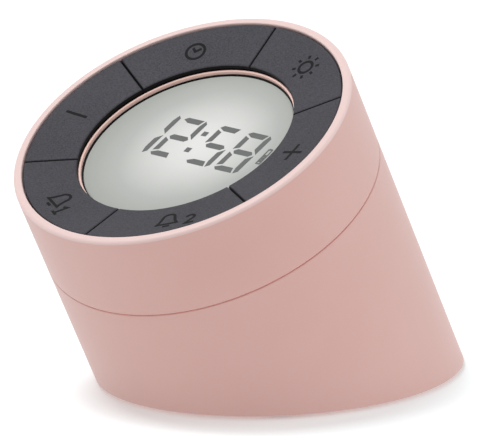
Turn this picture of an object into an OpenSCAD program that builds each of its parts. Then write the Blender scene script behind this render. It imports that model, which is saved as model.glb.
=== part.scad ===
// Round bedside alarm clock: a slant-cut cylinder with six keys in a dished ring round the display.
// Lengths are in millimetres and angles in degrees. +Z is up and the user sits on the -Y side.
// The origin is on the table, in the middle of the clock's bounding box.
// Depths are measured down the body axis from the rim.

/* [Body] */
// Outside diameter of the round body
body_d = 80; // [79:1:90]
// Length of the body along its axis, from the table to the rim
axis_len = 72; // [68:0.2:84]
// Lean of the body axis toward the user
tilt = 28.3; // [22:0.1:31]
// Thickness of the two shells
wall = 2; // [1.6:0.1:2.2]
// Rounding of the rim's outer edge
rim_round = 0.8; // [0.4:0.1:1.2]
// Rounding of the rim's inner edge
rim_inner_round = 0.3; // [0.1:0.1:0.5]
// Depth of the seam between the two shells
seam_depth = 21.2; // [20:0.2:25]
// Width of the groove along the seam
seam_gap = 0.25; // [0.2:0.05:0.5]
// Depth of the groove along the seam
seam_groove = 0.5; // [0.3:0.1:1]
// Height of the tongue that centres the shells on each other
tongue_len = 3; // [2:0.5:4]
// Thickness of the tongue
tongue_wall = 1.2; // [0.8:0.1:1.6]

/* [Keys] */
// How far a key goes in
key_travel = 0.4; // [0.3:0.1:0.6]
// Gap between two keys
key_gap = 0.45; // [0.3:0.05:0.8]
// Gap from the keys to the rim and to the collar
key_fit = 0.3; // [0.2:0.05:0.5]
// Depth of the keys' outer edge
key_sink = 0.4; // [0.2:0.1:0.6]
// Fall of the key ring from its outer to its inner edge
key_dish = 2.1; // [1.6:0.1:3]
// How far the keys' inner edge reaches over the collar
key_overlap = 0.2; // [0.1:0.05:0.4]
// Thickness of the keys' inner edge
key_lip_h = 0.95; // [0.6:0.05:1.1]
// Height of the keys' skirt below their inner edge
key_skirt_h = 2.3; // [2:0.1:2.8]
// Thickness of a key's cap and side walls
key_wall = 1.2; // [1:0.1:1.5]
// Rounding of the keys' top edges
key_round = 0.35; // [0.2:0.05:0.45]
// Diameter of a key's guide stem
stem_d = 4; // [3.4:0.2:5]
// Width of a key's retaining hook
hook_w = 3; // [2:0.2:4]

/* [Display] */
// Outside diameter of the collar round the display
collar_d = 51.8; // [51:0.2:53]
// Thickness of the collar
collar_wall = 0.6; // [0.6:0.1:0.9]
// Thickness of the display frame's lip round the panel
frame_lip = 0.25; // [0.2:0.05:0.4]
// Thickness of the display panel
lcd_t = 2; // [1.6:0.1:2.6]
// Thickness of the light guide behind the display
guide_t = 2; // [1.4:0.1:3]

/* [Electronics] */
// Space between the display frame's floor and the board
board_gap = 2.5; // [2.2:0.1:3.5]
// Thickness of the board
board_t = 1.6; // [1:0.2:2]
// Side of a switch body
switch_w = 6; // [5:0.2:7]
// Height of a switch body
switch_h = 3.4; // [3.2:0.1:3.8]
// Diameter of a switch plunger
plunger_d = 3.4; // [2.6:0.1:3.5]
// Diameter of the buzzer
buzzer_d = 12; // [9:0.5:14]
// Height of the buzzer
buzzer_h = 9; // [6:0.5:10]

/* [Base] */
// Gap from the table to the lower shell's edge
base_lift = 0.8; // [0.5:0.1:1.2]
// Thickness of the base cover
cover_t = 2.6; // [2.2:0.1:3]
// Diameter of a rubber foot
foot_d = 8.4; // [7:0.2:9]
// Distance of the feet from the middle, sideways
foot_x = 22; // [18:0.5:24]
// Thickness of the battery door
door_t = 1.6; // [1.2:0.1:1.8]
// Diameter of the door's hinge pins
pin_d = 1.5; // [1.2:0.1:1.8]
// Diameter of a battery cell
cell_d = 10.3; // [9.8:0.1:10.5]
// Length of a battery cell with its nub
cell_len = 44.5; // [43:0.1:45]

/* [Screws] */
// Diameter of the screws that join the shells and hold the base cover
screw_d = 2.6; // [2.2:0.1:3]
// Diameter of the screws that hold the board
board_screw_d = 2; // [1.6:0.1:2.2]

/* [Hidden] */
$fn = 64;

// Clearances and small shared sizes
merge = 0.3;
cut = 1;
stem_fit = 0.05;
pin_fit = 0.05;
screw_fit = 0.02;
frame_fit = 0.05;
lcd_fit = 0.05;
tongue_fit = 0.1;
cover_fit = 0.2;
door_fit = 0.25;
hook_fit = 0.3;
key_floor_gap = 0.3;
hook_rest_gap = 0.05;
door_rest_gap = 0.1;

// Body
body_r = body_d / 2;
wall_r = body_r - wall;
joined_r = wall_r + wall / 2;
axis_drop = body_r * tan(tilt) + cut;
upper_end_depth = seam_depth - seam_gap / 2;
lower_start_depth = seam_depth + seam_gap / 2;
tongue_r = wall_r - tongue_fit;
tongue_root = 3;
front_reach = (axis_len - rim_round) * sin(tilt) + (body_r - rim_round) * cos(tilt) + rim_round;
back_reach = body_r / cos(tilt) - base_lift * tan(tilt);
axis_foot_y = (front_reach - back_reach) / 2;

// Keys
key_count = 6;
key_pitch = 360 / key_count;
plus_angle = 0;
light_angle = 60;
clock_angle = 120;
minus_angle = 180;
alarm_one_angle = 240;
alarm_two_angle = 300;
collar_r = collar_d / 2;
collar_in_r = collar_r - collar_wall;
collar_round = 0.25;
collar_gap = 0.1;
key_outer_r = wall_r - key_fit;
key_inner_r = collar_r - key_overlap;
key_skirt_r = collar_r + key_fit;
key_lip_depth = key_sink + key_dish + key_lip_h;
collar_depth = key_lip_depth + key_travel + collar_gap;
key_mid_r = (key_outer_r + key_inner_r) / 2;
key_slope = atan(key_dish / (key_outer_r - key_inner_r));
key_bottom_depth = key_sink + key_dish + key_skirt_h;
deck_t = 1.5;
deck_depth = key_bottom_depth + key_travel + key_floor_gap;
deck_bottom_depth = deck_depth + deck_t;
hook_angle = 17;
hook_t = 1.2;
hook_offset = 2;
hook_r = key_mid_r + hook_offset;
barb = 0.8;
barb_h = 1;

// Display stack, from the face inward
frame_drop = 0.85;
lcd_sink = 0.25;
film_t = 0.2;
film_inset = 0.2;
reflector_t = 0.2;
frame_floor_t = 1.2;
frame_flange_t = 1.2;
frame_flange_w = 2.6;
frame_ledge = 0.7;
frame_r = collar_in_r - frame_fit;
frame_depth = collar_depth + frame_drop;
lcd_pocket_r = frame_r - frame_lip;
lcd_r = lcd_pocket_r - lcd_fit;
lcd_depth = frame_depth + lcd_sink;
guide_pocket_r = lcd_pocket_r - frame_ledge;
guide_r = guide_pocket_r - lcd_fit;
guide_depth = lcd_depth + lcd_t;
reflector_depth = guide_depth + guide_t;
floor_depth = reflector_depth + reflector_t;
floor_bottom_depth = floor_depth + frame_floor_t;
zebra_w = 20;
zebra_t = 2.2;
zebra_fit = 0.1;
zebra_inset = 3.8;
zebra_y = guide_r - zebra_inset;
guide_gap = 0.6;
guide_half_y = zebra_y - zebra_t / 2 - guide_gap;

// Board and what it carries
board_depth = floor_bottom_depth + board_gap;
board_bottom_depth = board_depth + board_t;
board_edge_gap = 0.8;
board_r = wall_r - board_edge_gap;
plunger_h = 1.3;
plunger_in = 1.5;
stem_end_depth = board_depth - switch_h - plunger_h;
led_x = 12;
led_size = [3.5, 2.8, 1.9];
led_window_d = 5;
chip_d = 13;
chip_h = 1.8;
crystal_size = [7, 3.2, 2];
crystal_spot = [-14, 8];
buzzer_y = -17;
connector_size = [7, 5, 4.5];
connector_y = 15;

// Screws and what holds them
board_screw_angles = [90, 210, 330];
housing_screw_angles = [30, 150, 270];
board_post_r = 2.4;
board_post_offset = 1.8;
board_post_ring_r = key_mid_r + board_post_offset;
board_screw_len = 5;
boss_r = 3.2;
boss_ring_r = wall_r - boss_r + merge;
boss_gap = 0.5;
lug_r = 4.6;
lug_t = 3.5;
screw_grip = 7;
pilot_extra = 1;
head_d_ratio = 1.8;
head_h_ratio = 0.6;
head_top_ratio = 0.75;
recess_w_ratio = 0.28;
recess_len_ratio = 0.6;
recess_depth_ratio = 0.6;
screw_play = 0.4;

// Base cover, battery tray and door
cover_recess = 0.4;
cover_z = base_lift + cover_recess;
cover_top_z = cover_z + cover_t;
base_mid_y = axis_foot_y - cover_z * tan(tilt);
foot_recess = 0.6;
foot_round = 0.5;
foot_inset = 8;
foot_dy = inner_half_y(foot_x) - foot_inset;
base_screw_x = 9;
base_screw_inset = 6;
base_screw_dy = inner_half_y(base_screw_x) - base_screw_inset;
pad_r = 4;
pad_h = 1.6;
base_boss_z = cover_top_z + pad_h;
base_boss_h = 9;
base_rib_t = 1.6;
cell_count = 3;
cell_gap = 0.6;
cell_pitch = cell_d + cell_gap;
cell_lift = 0.25;
cell_z = cover_z + door_t + door_rest_gap + cell_lift + cell_d / 2;
nub_d = 3.8;
nub_h = 1;
contact_space = 2.2;
contact_t = 0.4;
contact_w = 8;
tray_wall = 1.4;
tray_half_x = cell_len / 2 + contact_space;
tray_half_y = cell_count * cell_pitch / 2;
tray_roof_z = cell_z + cell_d / 2 + cell_lift;
tray_top_z = tray_roof_z + tray_wall;
ledge = 1.5;
door_half_x = tray_half_x + ledge;
door_front_y = base_mid_y - tray_half_y - ledge;
door_back_y = base_mid_y + tray_half_y;
barrel_r = 1.4;
hinge_y = door_back_y - door_fit - barrel_r;
hinge_z = cover_z + barrel_r;
pin_len = 1.8;
ear_w = 3.2;
sound_hole_d = 1.8;
sound_hole_count = 6;
sound_ring_r = 4.5;
sound_inset = 13;
sound_dy = inner_half_y(0) - sound_inset;
lead_d = 1.4;
lead_sides = 8;
lead_steps = 14;
lead_bend = 14;
lead_spacing = 2.6;

// Colours
pink = [0.86, 0.71, 0.68];
dark_grey = [0.31, 0.31, 0.33];
black = [0.06, 0.06, 0.07];
display_grey = [0.8, 0.82, 0.78];
clear_white = [0.93, 0.95, 0.95];
board_green = [0.1, 0.36, 0.2];
steel = [0.72, 0.72, 0.73];
brass = [0.78, 0.62, 0.3];
cream = [0.92, 0.88, 0.78];
rubber_grey = [0.2, 0.2, 0.2];

// Height along the body axis of a depth below the rim
function at_depth(depth) = axis_len - depth;

// Depth of the key ring's dished top at a radius
function key_top_depth(r) = key_sink + (key_outer_r - r) * tan(key_slope);

// Half the inside length of the lower shell along Y, at a distance x from its middle
function inner_half_y(x) = sqrt(wall_r ^ 2 - x ^ 2) / cos(tilt);

// Position in space of a point given along the body axis
function axis_point(p) = [
    p.x,
    axis_foot_y + p.y * cos(tilt) - p.z * sin(tilt),
    p.y * sin(tilt) + p.z * cos(tilt)
];

// Points and directions along a curve with four control points
function curve_point(p, t) =
    (1 - t) ^ 3 * p[0] + 3 * (1 - t) ^ 2 * t * p[1] + 3 * (1 - t) * t ^ 2 * p[2] + t ^ 3 * p[3];
function curve_slope(p, t) =
    (1 - t) ^ 2 * (p[1] - p[0]) + 2 * (1 - t) * t * (p[2] - p[1]) + t ^ 2 * (p[3] - p[2]);
function unit(v) = v / norm(v);

// Placing helpers

module on_axis() {
    translate([0, axis_foot_y, 0])
        rotate([tilt, 0, 0])
            children();
}

module at_angles(angles) {
    for (angle = angles)
        rotate([0, 0, angle])
            children();
}

module at_keys() {
    at_angles([for (i = [0 : key_count - 1]) i * key_pitch])
        children();
}

module at_base_corners(x, dy) {
    for (side = [-1, 1], end = [-1, 1])
        translate([side * x, base_mid_y + end * dy, 0])
            children();
}

// Shared shapes

module disc(r, depth, thickness) {
    translate([0, 0, at_depth(depth + thickness)])
        cylinder(r = r, h = thickness);
}

module round_topped_wall(inner, width, bottom, top, outer_round, inner_round) {
    translate([inner, bottom])
        square([inner_round, top - inner_round - bottom]);
    translate([inner + inner_round, bottom])
        square([width - inner_round - outer_round, top - bottom]);
    translate([inner + width - outer_round, bottom])
        square([outer_round, top - outer_round - bottom]);
    translate([inner + inner_round, top - inner_round])
        circle(inner_round);
    translate([inner + width - outer_round, top - outer_round])
        circle(outer_round);
}

// Pan-head screw with a cross recess: the head hangs below Z = 0 and the shank points up
module pan_screw(d, length) {
    head_r = d * head_d_ratio / 2;
    head_h = d * head_h_ratio;
    recess_w = d * recess_w_ratio;
    recess_len = 2 * head_r * recess_len_ratio;
    recess_h = head_h * recess_depth_ratio;
    difference() {
        union() {
            cylinder(d = d, h = length);
            translate([0, 0, -head_h / 2])
                cylinder(r = head_r, h = head_h / 2);
            translate([0, 0, -head_h])
                cylinder(r1 = head_r * head_top_ratio, r2 = head_r, h = head_h / 2);
        }
        for (turn = [0, 90])
            rotate([0, 0, turn])
                translate([-recess_len / 2, -recess_w / 2, -head_h - cut])
                    cube([recess_len, recess_w, cut + recess_h]);
    }
}

// Hole for a screw's shank, a little longer than the shank
module pilot_hole(d, length) {
    cylinder(r = d / 2 + screw_fit, h = length + pilot_extra);
}

// Upper housing

module upper_section() {
    round_topped_wall(wall_r, wall, at_depth(upper_end_depth), axis_len, rim_round, rim_inner_round);
    round_topped_wall(
        collar_in_r, collar_wall, at_depth(deck_bottom_depth), at_depth(collar_depth),
        collar_round, collar_round
    );
    translate([collar_in_r, at_depth(deck_bottom_depth)])
        square([wall_r + merge - collar_in_r, deck_t]);
}

module hook_slot() {
    slot_t = hook_t + 2 * hook_fit;
    slot_w = hook_w + 2 * hook_fit;
    translate([hook_r - slot_t / 2, -slot_w / 2, at_depth(deck_bottom_depth) - cut])
        cube([slot_t, slot_w, deck_t + 2 * cut]);
}

module key_openings() {
    translate([key_mid_r, 0, at_depth(deck_bottom_depth) - cut])
        cylinder(r = stem_d / 2 + stem_fit, h = deck_t + 2 * cut);
    at_angles([-hook_angle, hook_angle])
        hook_slot();
}

module housing_boss() {
    translate([boss_ring_r, 0, at_depth(lower_start_depth)])
        cylinder(r = boss_r, h = lower_start_depth - deck_bottom_depth + merge);
}

module board_post() {
    translate([board_post_ring_r, 0, at_depth(board_depth)])
        cylinder(r = board_post_r, h = board_depth - deck_bottom_depth + merge);
}

module upper_housing() {
    color(pink)
        on_axis()
            difference() {
                union() {
                    rotate_extrude()
                        upper_section();
                    at_angles(housing_screw_angles)
                        housing_boss();
                    at_angles(board_screw_angles)
                        board_post();
                }
                at_keys()
                    key_openings();
                at_angles(housing_screw_angles)
                    translate([boss_ring_r, 0, at_depth(lower_start_depth) - cut])
                        pilot_hole(screw_d, screw_grip + cut);
                at_angles(board_screw_angles)
                    translate([board_post_ring_r, 0, at_depth(board_depth) - cut])
                        pilot_hole(board_screw_d, board_screw_len - board_t + cut);
            }
}

// Lower housing

module lower_section() {
    root_depth = lower_start_depth + tongue_root;
    tongue_in_r = tongue_r - tongue_wall;
    translate([wall_r, -axis_drop])
        square([wall, at_depth(lower_start_depth) + axis_drop]);
    translate([wall_r, at_depth(lower_start_depth) - merge])
        square([wall - seam_groove, seam_gap + merge]);
    translate([tongue_in_r, at_depth(root_depth)])
        square([tongue_wall, root_depth - seam_depth + tongue_len]);
    translate([tongue_in_r, at_depth(root_depth)])
        square([wall_r + merge - tongue_in_r, tongue_root]);
}

module housing_lug() {
    intersection() {
        translate([boss_ring_r, 0, at_depth(lower_start_depth + lug_t)])
            cylinder(r = lug_r, h = lug_t);
        cylinder(r = joined_r, h = axis_len);
    }
}

module lug_cuts() {
    translate([boss_ring_r, 0, at_depth(lower_start_depth + lug_t) - cut])
        cylinder(d = screw_d + screw_play, h = lug_t + 2 * cut);
    translate([boss_ring_r, 0, at_depth(lower_start_depth)])
        cylinder(r = boss_r + boss_gap, h = tongue_len + 2 * cut);
}

module inside_of_shell(r) {
    on_axis()
        translate([0, 0, -axis_drop])
            cylinder(r = r, h = axis_len + axis_drop);
}

// Boss for a base screw, with a rib that ties it to the leaning wall
module base_boss(end) {
    cylinder(r = boss_r, h = base_boss_h);
    translate([-base_rib_t / 2, end > 0 ? 0 : -body_r, 0])
        cube([base_rib_t, body_r, base_boss_h]);
}

module base_bosses() {
    intersection() {
        inside_of_shell(joined_r);
        for (side = [-1, 1], end = [-1, 1])
            translate([side * base_screw_x, base_mid_y + end * base_screw_dy, base_boss_z])
                base_boss(end);
    }
}

module below_base() {
    translate([-body_d, -body_d, -body_d])
        cube([2 * body_d, 2 * body_d, body_d + base_lift]);
}

module lower_housing() {
    color(pink)
        difference() {
            union() {
                on_axis() {
                    rotate_extrude()
                        lower_section();
                    at_angles(housing_screw_angles)
                        housing_lug();
                }
                base_bosses();
            }
            on_axis()
                at_angles(housing_screw_angles)
                    lug_cuts();
            at_base_corners(base_screw_x, base_screw_dy)
                translate([0, 0, base_boss_z - cut])
                    pilot_hole(screw_d, screw_grip + cut);
            below_base();
        }
}

// Base cover with the battery tray

module cover_outline(bottom, height) {
    intersection() {
        inside_of_shell(wall_r - cover_fit);
        translate([-body_d, -body_d, bottom])
            cube([2 * body_d, 2 * body_d, height]);
    }
}

module screw_pads() {
    intersection() {
        inside_of_shell(wall_r - cover_fit);
        at_base_corners(base_screw_x, base_screw_dy)
            translate([0, 0, cover_z])
                cylinder(r = pad_r, h = cover_t + pad_h);
    }
}

module tray_outside() {
    translate([-tray_half_x - tray_wall, base_mid_y - tray_half_y - tray_wall, cover_z])
        cube([2 * (tray_half_x + tray_wall), 2 * (tray_half_y + tray_wall), tray_top_z - cover_z]);
}

module tray_inside() {
    translate([-tray_half_x, base_mid_y - tray_half_y, cover_z - cut])
        cube([2 * tray_half_x, 2 * tray_half_y, tray_roof_z - cover_z + cut]);
}

module hinge_ears() {
    for (side = [-1, 1])
        translate([side * (door_half_x + ear_w / 2), hinge_y, cover_z + barrel_r + tray_wall])
            cube([ear_w, 2 * (barrel_r + tray_wall), 2 * (barrel_r + tray_wall)], center = true);
}

// Room for the door, its hinge barrel and a fingertip
module door_recess() {
    barrel_room = 2 * barrel_r + door_fit;
    finger_w = 14;
    finger_reach = 5;
    finger_depth = 1.2;
    translate([-door_half_x, door_front_y, cover_z - cut])
        cube([2 * door_half_x, door_back_y - door_front_y, door_t + door_rest_gap + cut]);
    translate([-door_half_x, hinge_y - barrel_r - door_fit, cover_z - cut])
        cube([2 * door_half_x, barrel_room + door_fit, barrel_room + cut]);
    translate([-finger_w / 2, door_front_y - finger_reach, cover_z - cut])
        cube([finger_w, finger_reach + cut, finger_depth + cut]);
    for (side = [-1, 1])
        translate([side * (door_half_x + pin_len / 2), hinge_y, hinge_z])
            rotate([0, 90, 0])
                cylinder(r = pin_d / 2 + pin_fit, h = pin_len + 2 * door_fit, center = true);
}

module sound_holes() {
    hole_angles = [for (i = [0 : sound_hole_count - 1]) i * 360 / sound_hole_count];
    translate([0, base_mid_y + sound_dy, cover_z - cut]) {
        cylinder(d = sound_hole_d, h = cover_t + 2 * cut);
        at_angles(hole_angles)
            translate([sound_ring_r, 0, 0])
                cylinder(d = sound_hole_d, h = cover_t + 2 * cut);
    }
}

module base_screw_holes() {
    head_room_d = screw_d * head_d_ratio + 2 * screw_play;
    head_room_h = base_screw_head_z() - cover_z;
    at_base_corners(base_screw_x, base_screw_dy)
        translate([0, 0, cover_z - cut]) {
            cylinder(d = screw_d + screw_play, h = cover_t + pad_h + 2 * cut);
            cylinder(d = head_room_d, h = head_room_h + cut);
        }
}

// Height at which the heads of the base screws bear
function base_screw_head_z() = cover_z + screw_d * head_h_ratio + cover_recess;

module base_cover() {
    color(pink)
        difference() {
            union() {
                cover_outline(cover_z, cover_t);
                screw_pads();
                tray_outside();
                hinge_ears();
            }
            tray_inside();
            door_recess();
            sound_holes();
            base_screw_holes();
            at_base_corners(foot_x, foot_dy)
                translate([0, 0, cover_z - cut])
                    cylinder(d = foot_d, h = foot_recess + cut);
        }
}

module rubber_foot() {
    foot_h = cover_z + foot_recess;
    foot_r = foot_d / 2;
    rotate_extrude() {
        translate([0, foot_round])
            square([foot_r, foot_h - foot_round]);
        square([foot_r - foot_round, foot_h]);
        translate([foot_r - foot_round, foot_round])
            circle(foot_round);
    }
}

module rubber_feet() {
    color(rubber_grey)
        at_base_corners(foot_x, foot_dy)
            rubber_foot();
}

// Battery door, hinged on two pins at its back edge

module battery_door() {
    half_w = door_half_x - door_fit;
    front_y = door_front_y + door_fit;
    grip_count = 4;
    grip_w = 12;
    grip_pitch = 1.6;
    grip_depth = 0.4;
    color(pink)
        difference() {
            union() {
                translate([-half_w, front_y, cover_z])
                    cube([2 * half_w, hinge_y - front_y, door_t]);
                translate([0, hinge_y, hinge_z])
                    rotate([0, 90, 0]) {
                        cylinder(r = barrel_r, h = 2 * half_w, center = true);
                        cylinder(d = pin_d, h = 2 * (half_w + pin_len), center = true);
                    }
            }
            for (i = [1 : grip_count])
                translate([-grip_w / 2, front_y + i * grip_pitch, cover_z - cut])
                    cube([grip_w, grip_pitch / 2, grip_depth + cut]);
        }
}

// Keys, drawn with the key's middle along +X

module key_section() {
    outer_z = at_depth(key_top_depth(key_outer_r - key_round)) - key_round / cos(key_slope);
    inner_z = at_depth(key_top_depth(key_inner_r + key_round)) - key_round / cos(key_slope);
    tangent = key_round * [-sin(key_slope), cos(key_slope)];
    outer_centre = [key_outer_r - key_round, outer_z];
    inner_centre = [key_inner_r + key_round, inner_z];
    polygon([
        [key_skirt_r, at_depth(key_bottom_depth)],
        [key_outer_r, at_depth(key_bottom_depth)],
        [key_outer_r, outer_z],
        outer_centre + tangent,
        inner_centre + tangent,
        [key_inner_r, inner_z],
        [key_inner_r, at_depth(key_lip_depth)],
        [key_skirt_r, at_depth(key_lip_depth)]
    ]);
    translate(outer_centre)
        circle(key_round);
    translate(inner_centre)
        circle(key_round);
}

module key_hollow_section() {
    outer = key_outer_r - key_wall;
    inner = key_skirt_r + key_wall;
    polygon([
        [inner, at_depth(key_bottom_depth) - cut],
        [outer, at_depth(key_bottom_depth) - cut],
        [outer, at_depth(key_top_depth(outer) + key_wall)],
        [inner, at_depth(key_top_depth(inner) + key_wall)]
    ]);
}

// Sector of the key ring with parallel sides, each set back by half the side gap
module key_sector(side_gap) {
    difference() {
        rotate([0, 0, -key_pitch / 2])
            rotate_extrude(angle = key_pitch)
                children();
        at_angles([-key_pitch / 2, key_pitch / 2])
            translate([0, -side_gap / 2, at_depth(key_bottom_depth) - 2 * cut])
                cube([body_r, side_gap, key_bottom_depth + 3 * cut]);
    }
}

module key_hook() {
    inner = hook_r - hook_t / 2;
    outer = hook_r + hook_t / 2;
    top_z = at_depth(key_top_depth(hook_r) + key_wall / 2);
    barb_z = at_depth(deck_bottom_depth + hook_rest_gap);
    rotate([90, 0, 0])
        linear_extrude(height = hook_w, center = true)
            polygon([
                [inner, top_z],
                [outer, top_z],
                [outer, barb_z],
                [outer + barb, barb_z],
                [outer, barb_z - barb_h],
                [inner, barb_z - barb_h]
            ]);
}

module key_stem() {
    top_depth = key_top_depth(key_mid_r) + key_wall / 2;
    translate([key_mid_r, 0, at_depth(stem_end_depth)])
        cylinder(d = stem_d, h = stem_end_depth - top_depth);
}

module key(angle) {
    color(dark_grey)
        on_axis()
            rotate([0, 0, angle]) {
                difference() {
                    key_sector(key_gap)
                        key_section();
                    key_sector(key_gap + 2 * key_wall)
                        key_hollow_section();
                }
                key_stem();
                at_angles([-hook_angle, hook_angle])
                    key_hook();
            }
}

module key_plus() {
    key(plus_angle);
}

module key_light() {
    key(light_angle);
}

module key_clock() {
    key(clock_angle);
}

module key_minus() {
    key(minus_angle);
}

module key_alarm_one() {
    key(alarm_one_angle);
}

module key_alarm_two() {
    key(alarm_two_angle);
}

// Switches under the keys

module plunger(angle) {
    color(black)
        on_axis()
            rotate([0, 0, angle])
                translate([key_mid_r, 0, at_depth(board_depth) + switch_h - plunger_in])
                    cylinder(d = plunger_d, h = plunger_in + plunger_h);
}

module plunger_plus() {
    plunger(plus_angle);
}

module plunger_light() {
    plunger(light_angle);
}

module plunger_clock() {
    plunger(clock_angle);
}

module plunger_minus() {
    plunger(minus_angle);
}

module plunger_alarm_one() {
    plunger(alarm_one_angle);
}

module plunger_alarm_two() {
    plunger(alarm_two_angle);
}

module switch_body() {
    well_depth = plunger_in + key_travel + key_floor_gap;
    difference() {
        translate([-switch_w / 2, -switch_w / 2, 0])
            cube([switch_w, switch_w, switch_h]);
        translate([0, 0, switch_h - well_depth])
            cylinder(r = plunger_d / 2 + stem_fit, h = well_depth + cut);
    }
}

module switch_bodies() {
    color(steel)
        on_axis()
            at_keys()
                translate([key_mid_r, 0, at_depth(board_depth)])
                    switch_body();
}

// Display

module zebra_slots() {
    for (end = [-1, 1])
        translate([0, end * zebra_y, at_depth(floor_depth + frame_floor_t / 2)])
            cube([zebra_w + 2 * zebra_fit, zebra_t + 2 * zebra_fit, frame_floor_t + 2 * cut], center = true);
}

module led_windows(depth, thickness) {
    for (side = [-1, 1])
        translate([side * led_x, 0, at_depth(depth + thickness) - cut])
            cylinder(d = led_window_d, h = thickness + 2 * cut);
}

module display_frame() {
    color(black)
        on_axis()
            difference() {
                union() {
                    disc(frame_r, frame_depth, board_depth - frame_depth);
                    disc(frame_r + frame_flange_w, deck_bottom_depth, frame_flange_t);
                }
                disc(lcd_pocket_r, frame_depth - cut, guide_depth - frame_depth + cut);
                disc(guide_pocket_r, guide_depth - cut, floor_depth - guide_depth + cut);
                disc(guide_pocket_r, floor_bottom_depth, board_gap + cut);
                zebra_slots();
                led_windows(floor_depth, frame_floor_t);
            }
}

// Glass plate with a slightly smaller film on its face
module lcd_panel() {
    color(display_grey)
        on_axis() {
            disc(lcd_r, lcd_depth + film_t, lcd_t - film_t);
            disc(lcd_r - film_inset, lcd_depth, lcd_t);
        }
}

// Disc with two flats that leave room for the contact strips
module flatted_disc(depth, thickness) {
    intersection() {
        disc(guide_r, depth, thickness);
        translate([-body_r, -guide_half_y, at_depth(depth + thickness) - cut])
            cube([body_d, 2 * guide_half_y, thickness + 2 * cut]);
    }
}

module light_guide() {
    color(clear_white)
        on_axis()
            flatted_disc(guide_depth, guide_t);
}

module reflector_sheet() {
    color(clear_white)
        on_axis()
            difference() {
                flatted_disc(reflector_depth, reflector_t);
                led_windows(reflector_depth, reflector_t);
            }
}

module zebra_strips() {
    strip_h = board_depth - guide_depth;
    color(rubber_grey)
        on_axis()
            for (end = [-1, 1])
                translate([-zebra_w / 2, end * zebra_y - zebra_t / 2, at_depth(board_depth)])
                    cube([zebra_w, zebra_t, strip_h]);
}

module backlight_leds() {
    color(cream)
        on_axis()
            for (side = [-1, 1])
                translate([side * led_x - led_size.x / 2, -led_size.y / 2, at_depth(board_depth)])
                    cube(led_size);
}

// Board

module main_board() {
    color(board_green)
        on_axis()
            difference() {
                disc(board_r, board_depth, board_t);
                at_angles(housing_screw_angles)
                    translate([boss_ring_r, 0, at_depth(board_bottom_depth) - cut])
                        cylinder(r = boss_r + boss_gap, h = board_t + 2 * cut);
                at_angles(board_screw_angles)
                    translate([board_post_ring_r, 0, at_depth(board_bottom_depth) - cut])
                        cylinder(d = board_screw_d + screw_play, h = board_t + 2 * cut);
            }
}

module under_board() {
    on_axis()
        translate([0, 0, at_depth(board_bottom_depth)])
            rotate([180, 0, 0])
                children();
}

module controller_chip() {
    flat_r = chip_d / 2 - chip_h;
    color(black)
        under_board()
            rotate_extrude() {
                square([flat_r, chip_h]);
                intersection() {
                    translate([flat_r, 0])
                        circle(chip_h);
                    square([chip_d / 2, chip_h]);
                }
            }
}

module crystal() {
    color(steel)
        under_board()
            translate(crystal_spot)
                cube(crystal_size);
}

module buzzer() {
    hole_d = 2;
    hole_depth = 2;
    color(black)
        under_board()
            translate([0, -buzzer_y, 0])
                difference() {
                    cylinder(d = buzzer_d, h = buzzer_h);
                    translate([0, 0, buzzer_h - hole_depth])
                        cylinder(d = hole_d, h = hole_depth + cut);
                }
}

module lead_connector() {
    color(cream)
        under_board()
            translate([-connector_size.x / 2, -connector_y - connector_size.y / 2, 0])
                cube(connector_size);
}

// Screws

module board_screws() {
    color(steel)
        on_axis()
            at_angles(board_screw_angles)
                translate([board_post_ring_r, 0, at_depth(board_bottom_depth)])
                    pan_screw(board_screw_d, board_screw_len);
}

module housing_screws() {
    color(steel)
        on_axis()
            at_angles(housing_screw_angles)
                translate([boss_ring_r, 0, at_depth(lower_start_depth + lug_t)])
                    pan_screw(screw_d, lug_t + screw_grip);
}

module base_screws() {
    color(steel)
        at_base_corners(base_screw_x, base_screw_dy)
            translate([0, 0, base_screw_head_z()])
                pan_screw(screw_d, base_boss_z - base_screw_head_z() + screw_grip);
}

// Batteries, their contacts and leads

// Puts each cell's parts in its row, every second cell turned round
module at_cells() {
    for (i = [0 : cell_count - 1])
        translate([0, base_mid_y + (i - (cell_count - 1) / 2) * cell_pitch, cell_z])
            rotate([0, 0, 180 * (i % 2)])
                children();
}

module batteries() {
    color(brass)
        at_cells()
            rotate([0, 90, 0])
                translate([0, 0, -cell_len / 2]) {
                    cylinder(d = cell_d, h = cell_len - nub_h);
                    cylinder(d = nub_d, h = cell_len);
                }
}

module contact_plate() {
    translate([tray_half_x - contact_t, -contact_w / 2, -contact_w / 2])
        cube([contact_t, contact_w, contact_w]);
}

// Bump that meets the cell's nub
module nub_contact() {
    contact_plate();
    translate([cell_len / 2, 0, 0])
        rotate([0, 90, 0])
            cylinder(d = nub_d, h = contact_space - contact_t / 2);
}

// Bowed leaf that presses on the cell's flat end
module leaf_contact() {
    reach = contact_space - contact_t / 2;
    foot = contact_w / 2;
    crest = 1;
    leaf_w = 5;
    contact_plate();
    translate([cell_len / 2, 0, 0])
        rotate([90, 0, 0])
            linear_extrude(height = leaf_w, center = true)
                polygon([
                    [reach, -foot], [0, -crest], [0, crest], [reach, foot],
                    [reach, foot - crest], [contact_t, crest - contact_t / 2],
                    [contact_t, contact_t / 2 - crest], [reach, crest - foot]
                ]);
}

module battery_contacts() {
    color(steel)
        at_cells() {
            nub_contact();
            mirror([1, 0, 0])
                leaf_contact();
        }
}

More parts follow.
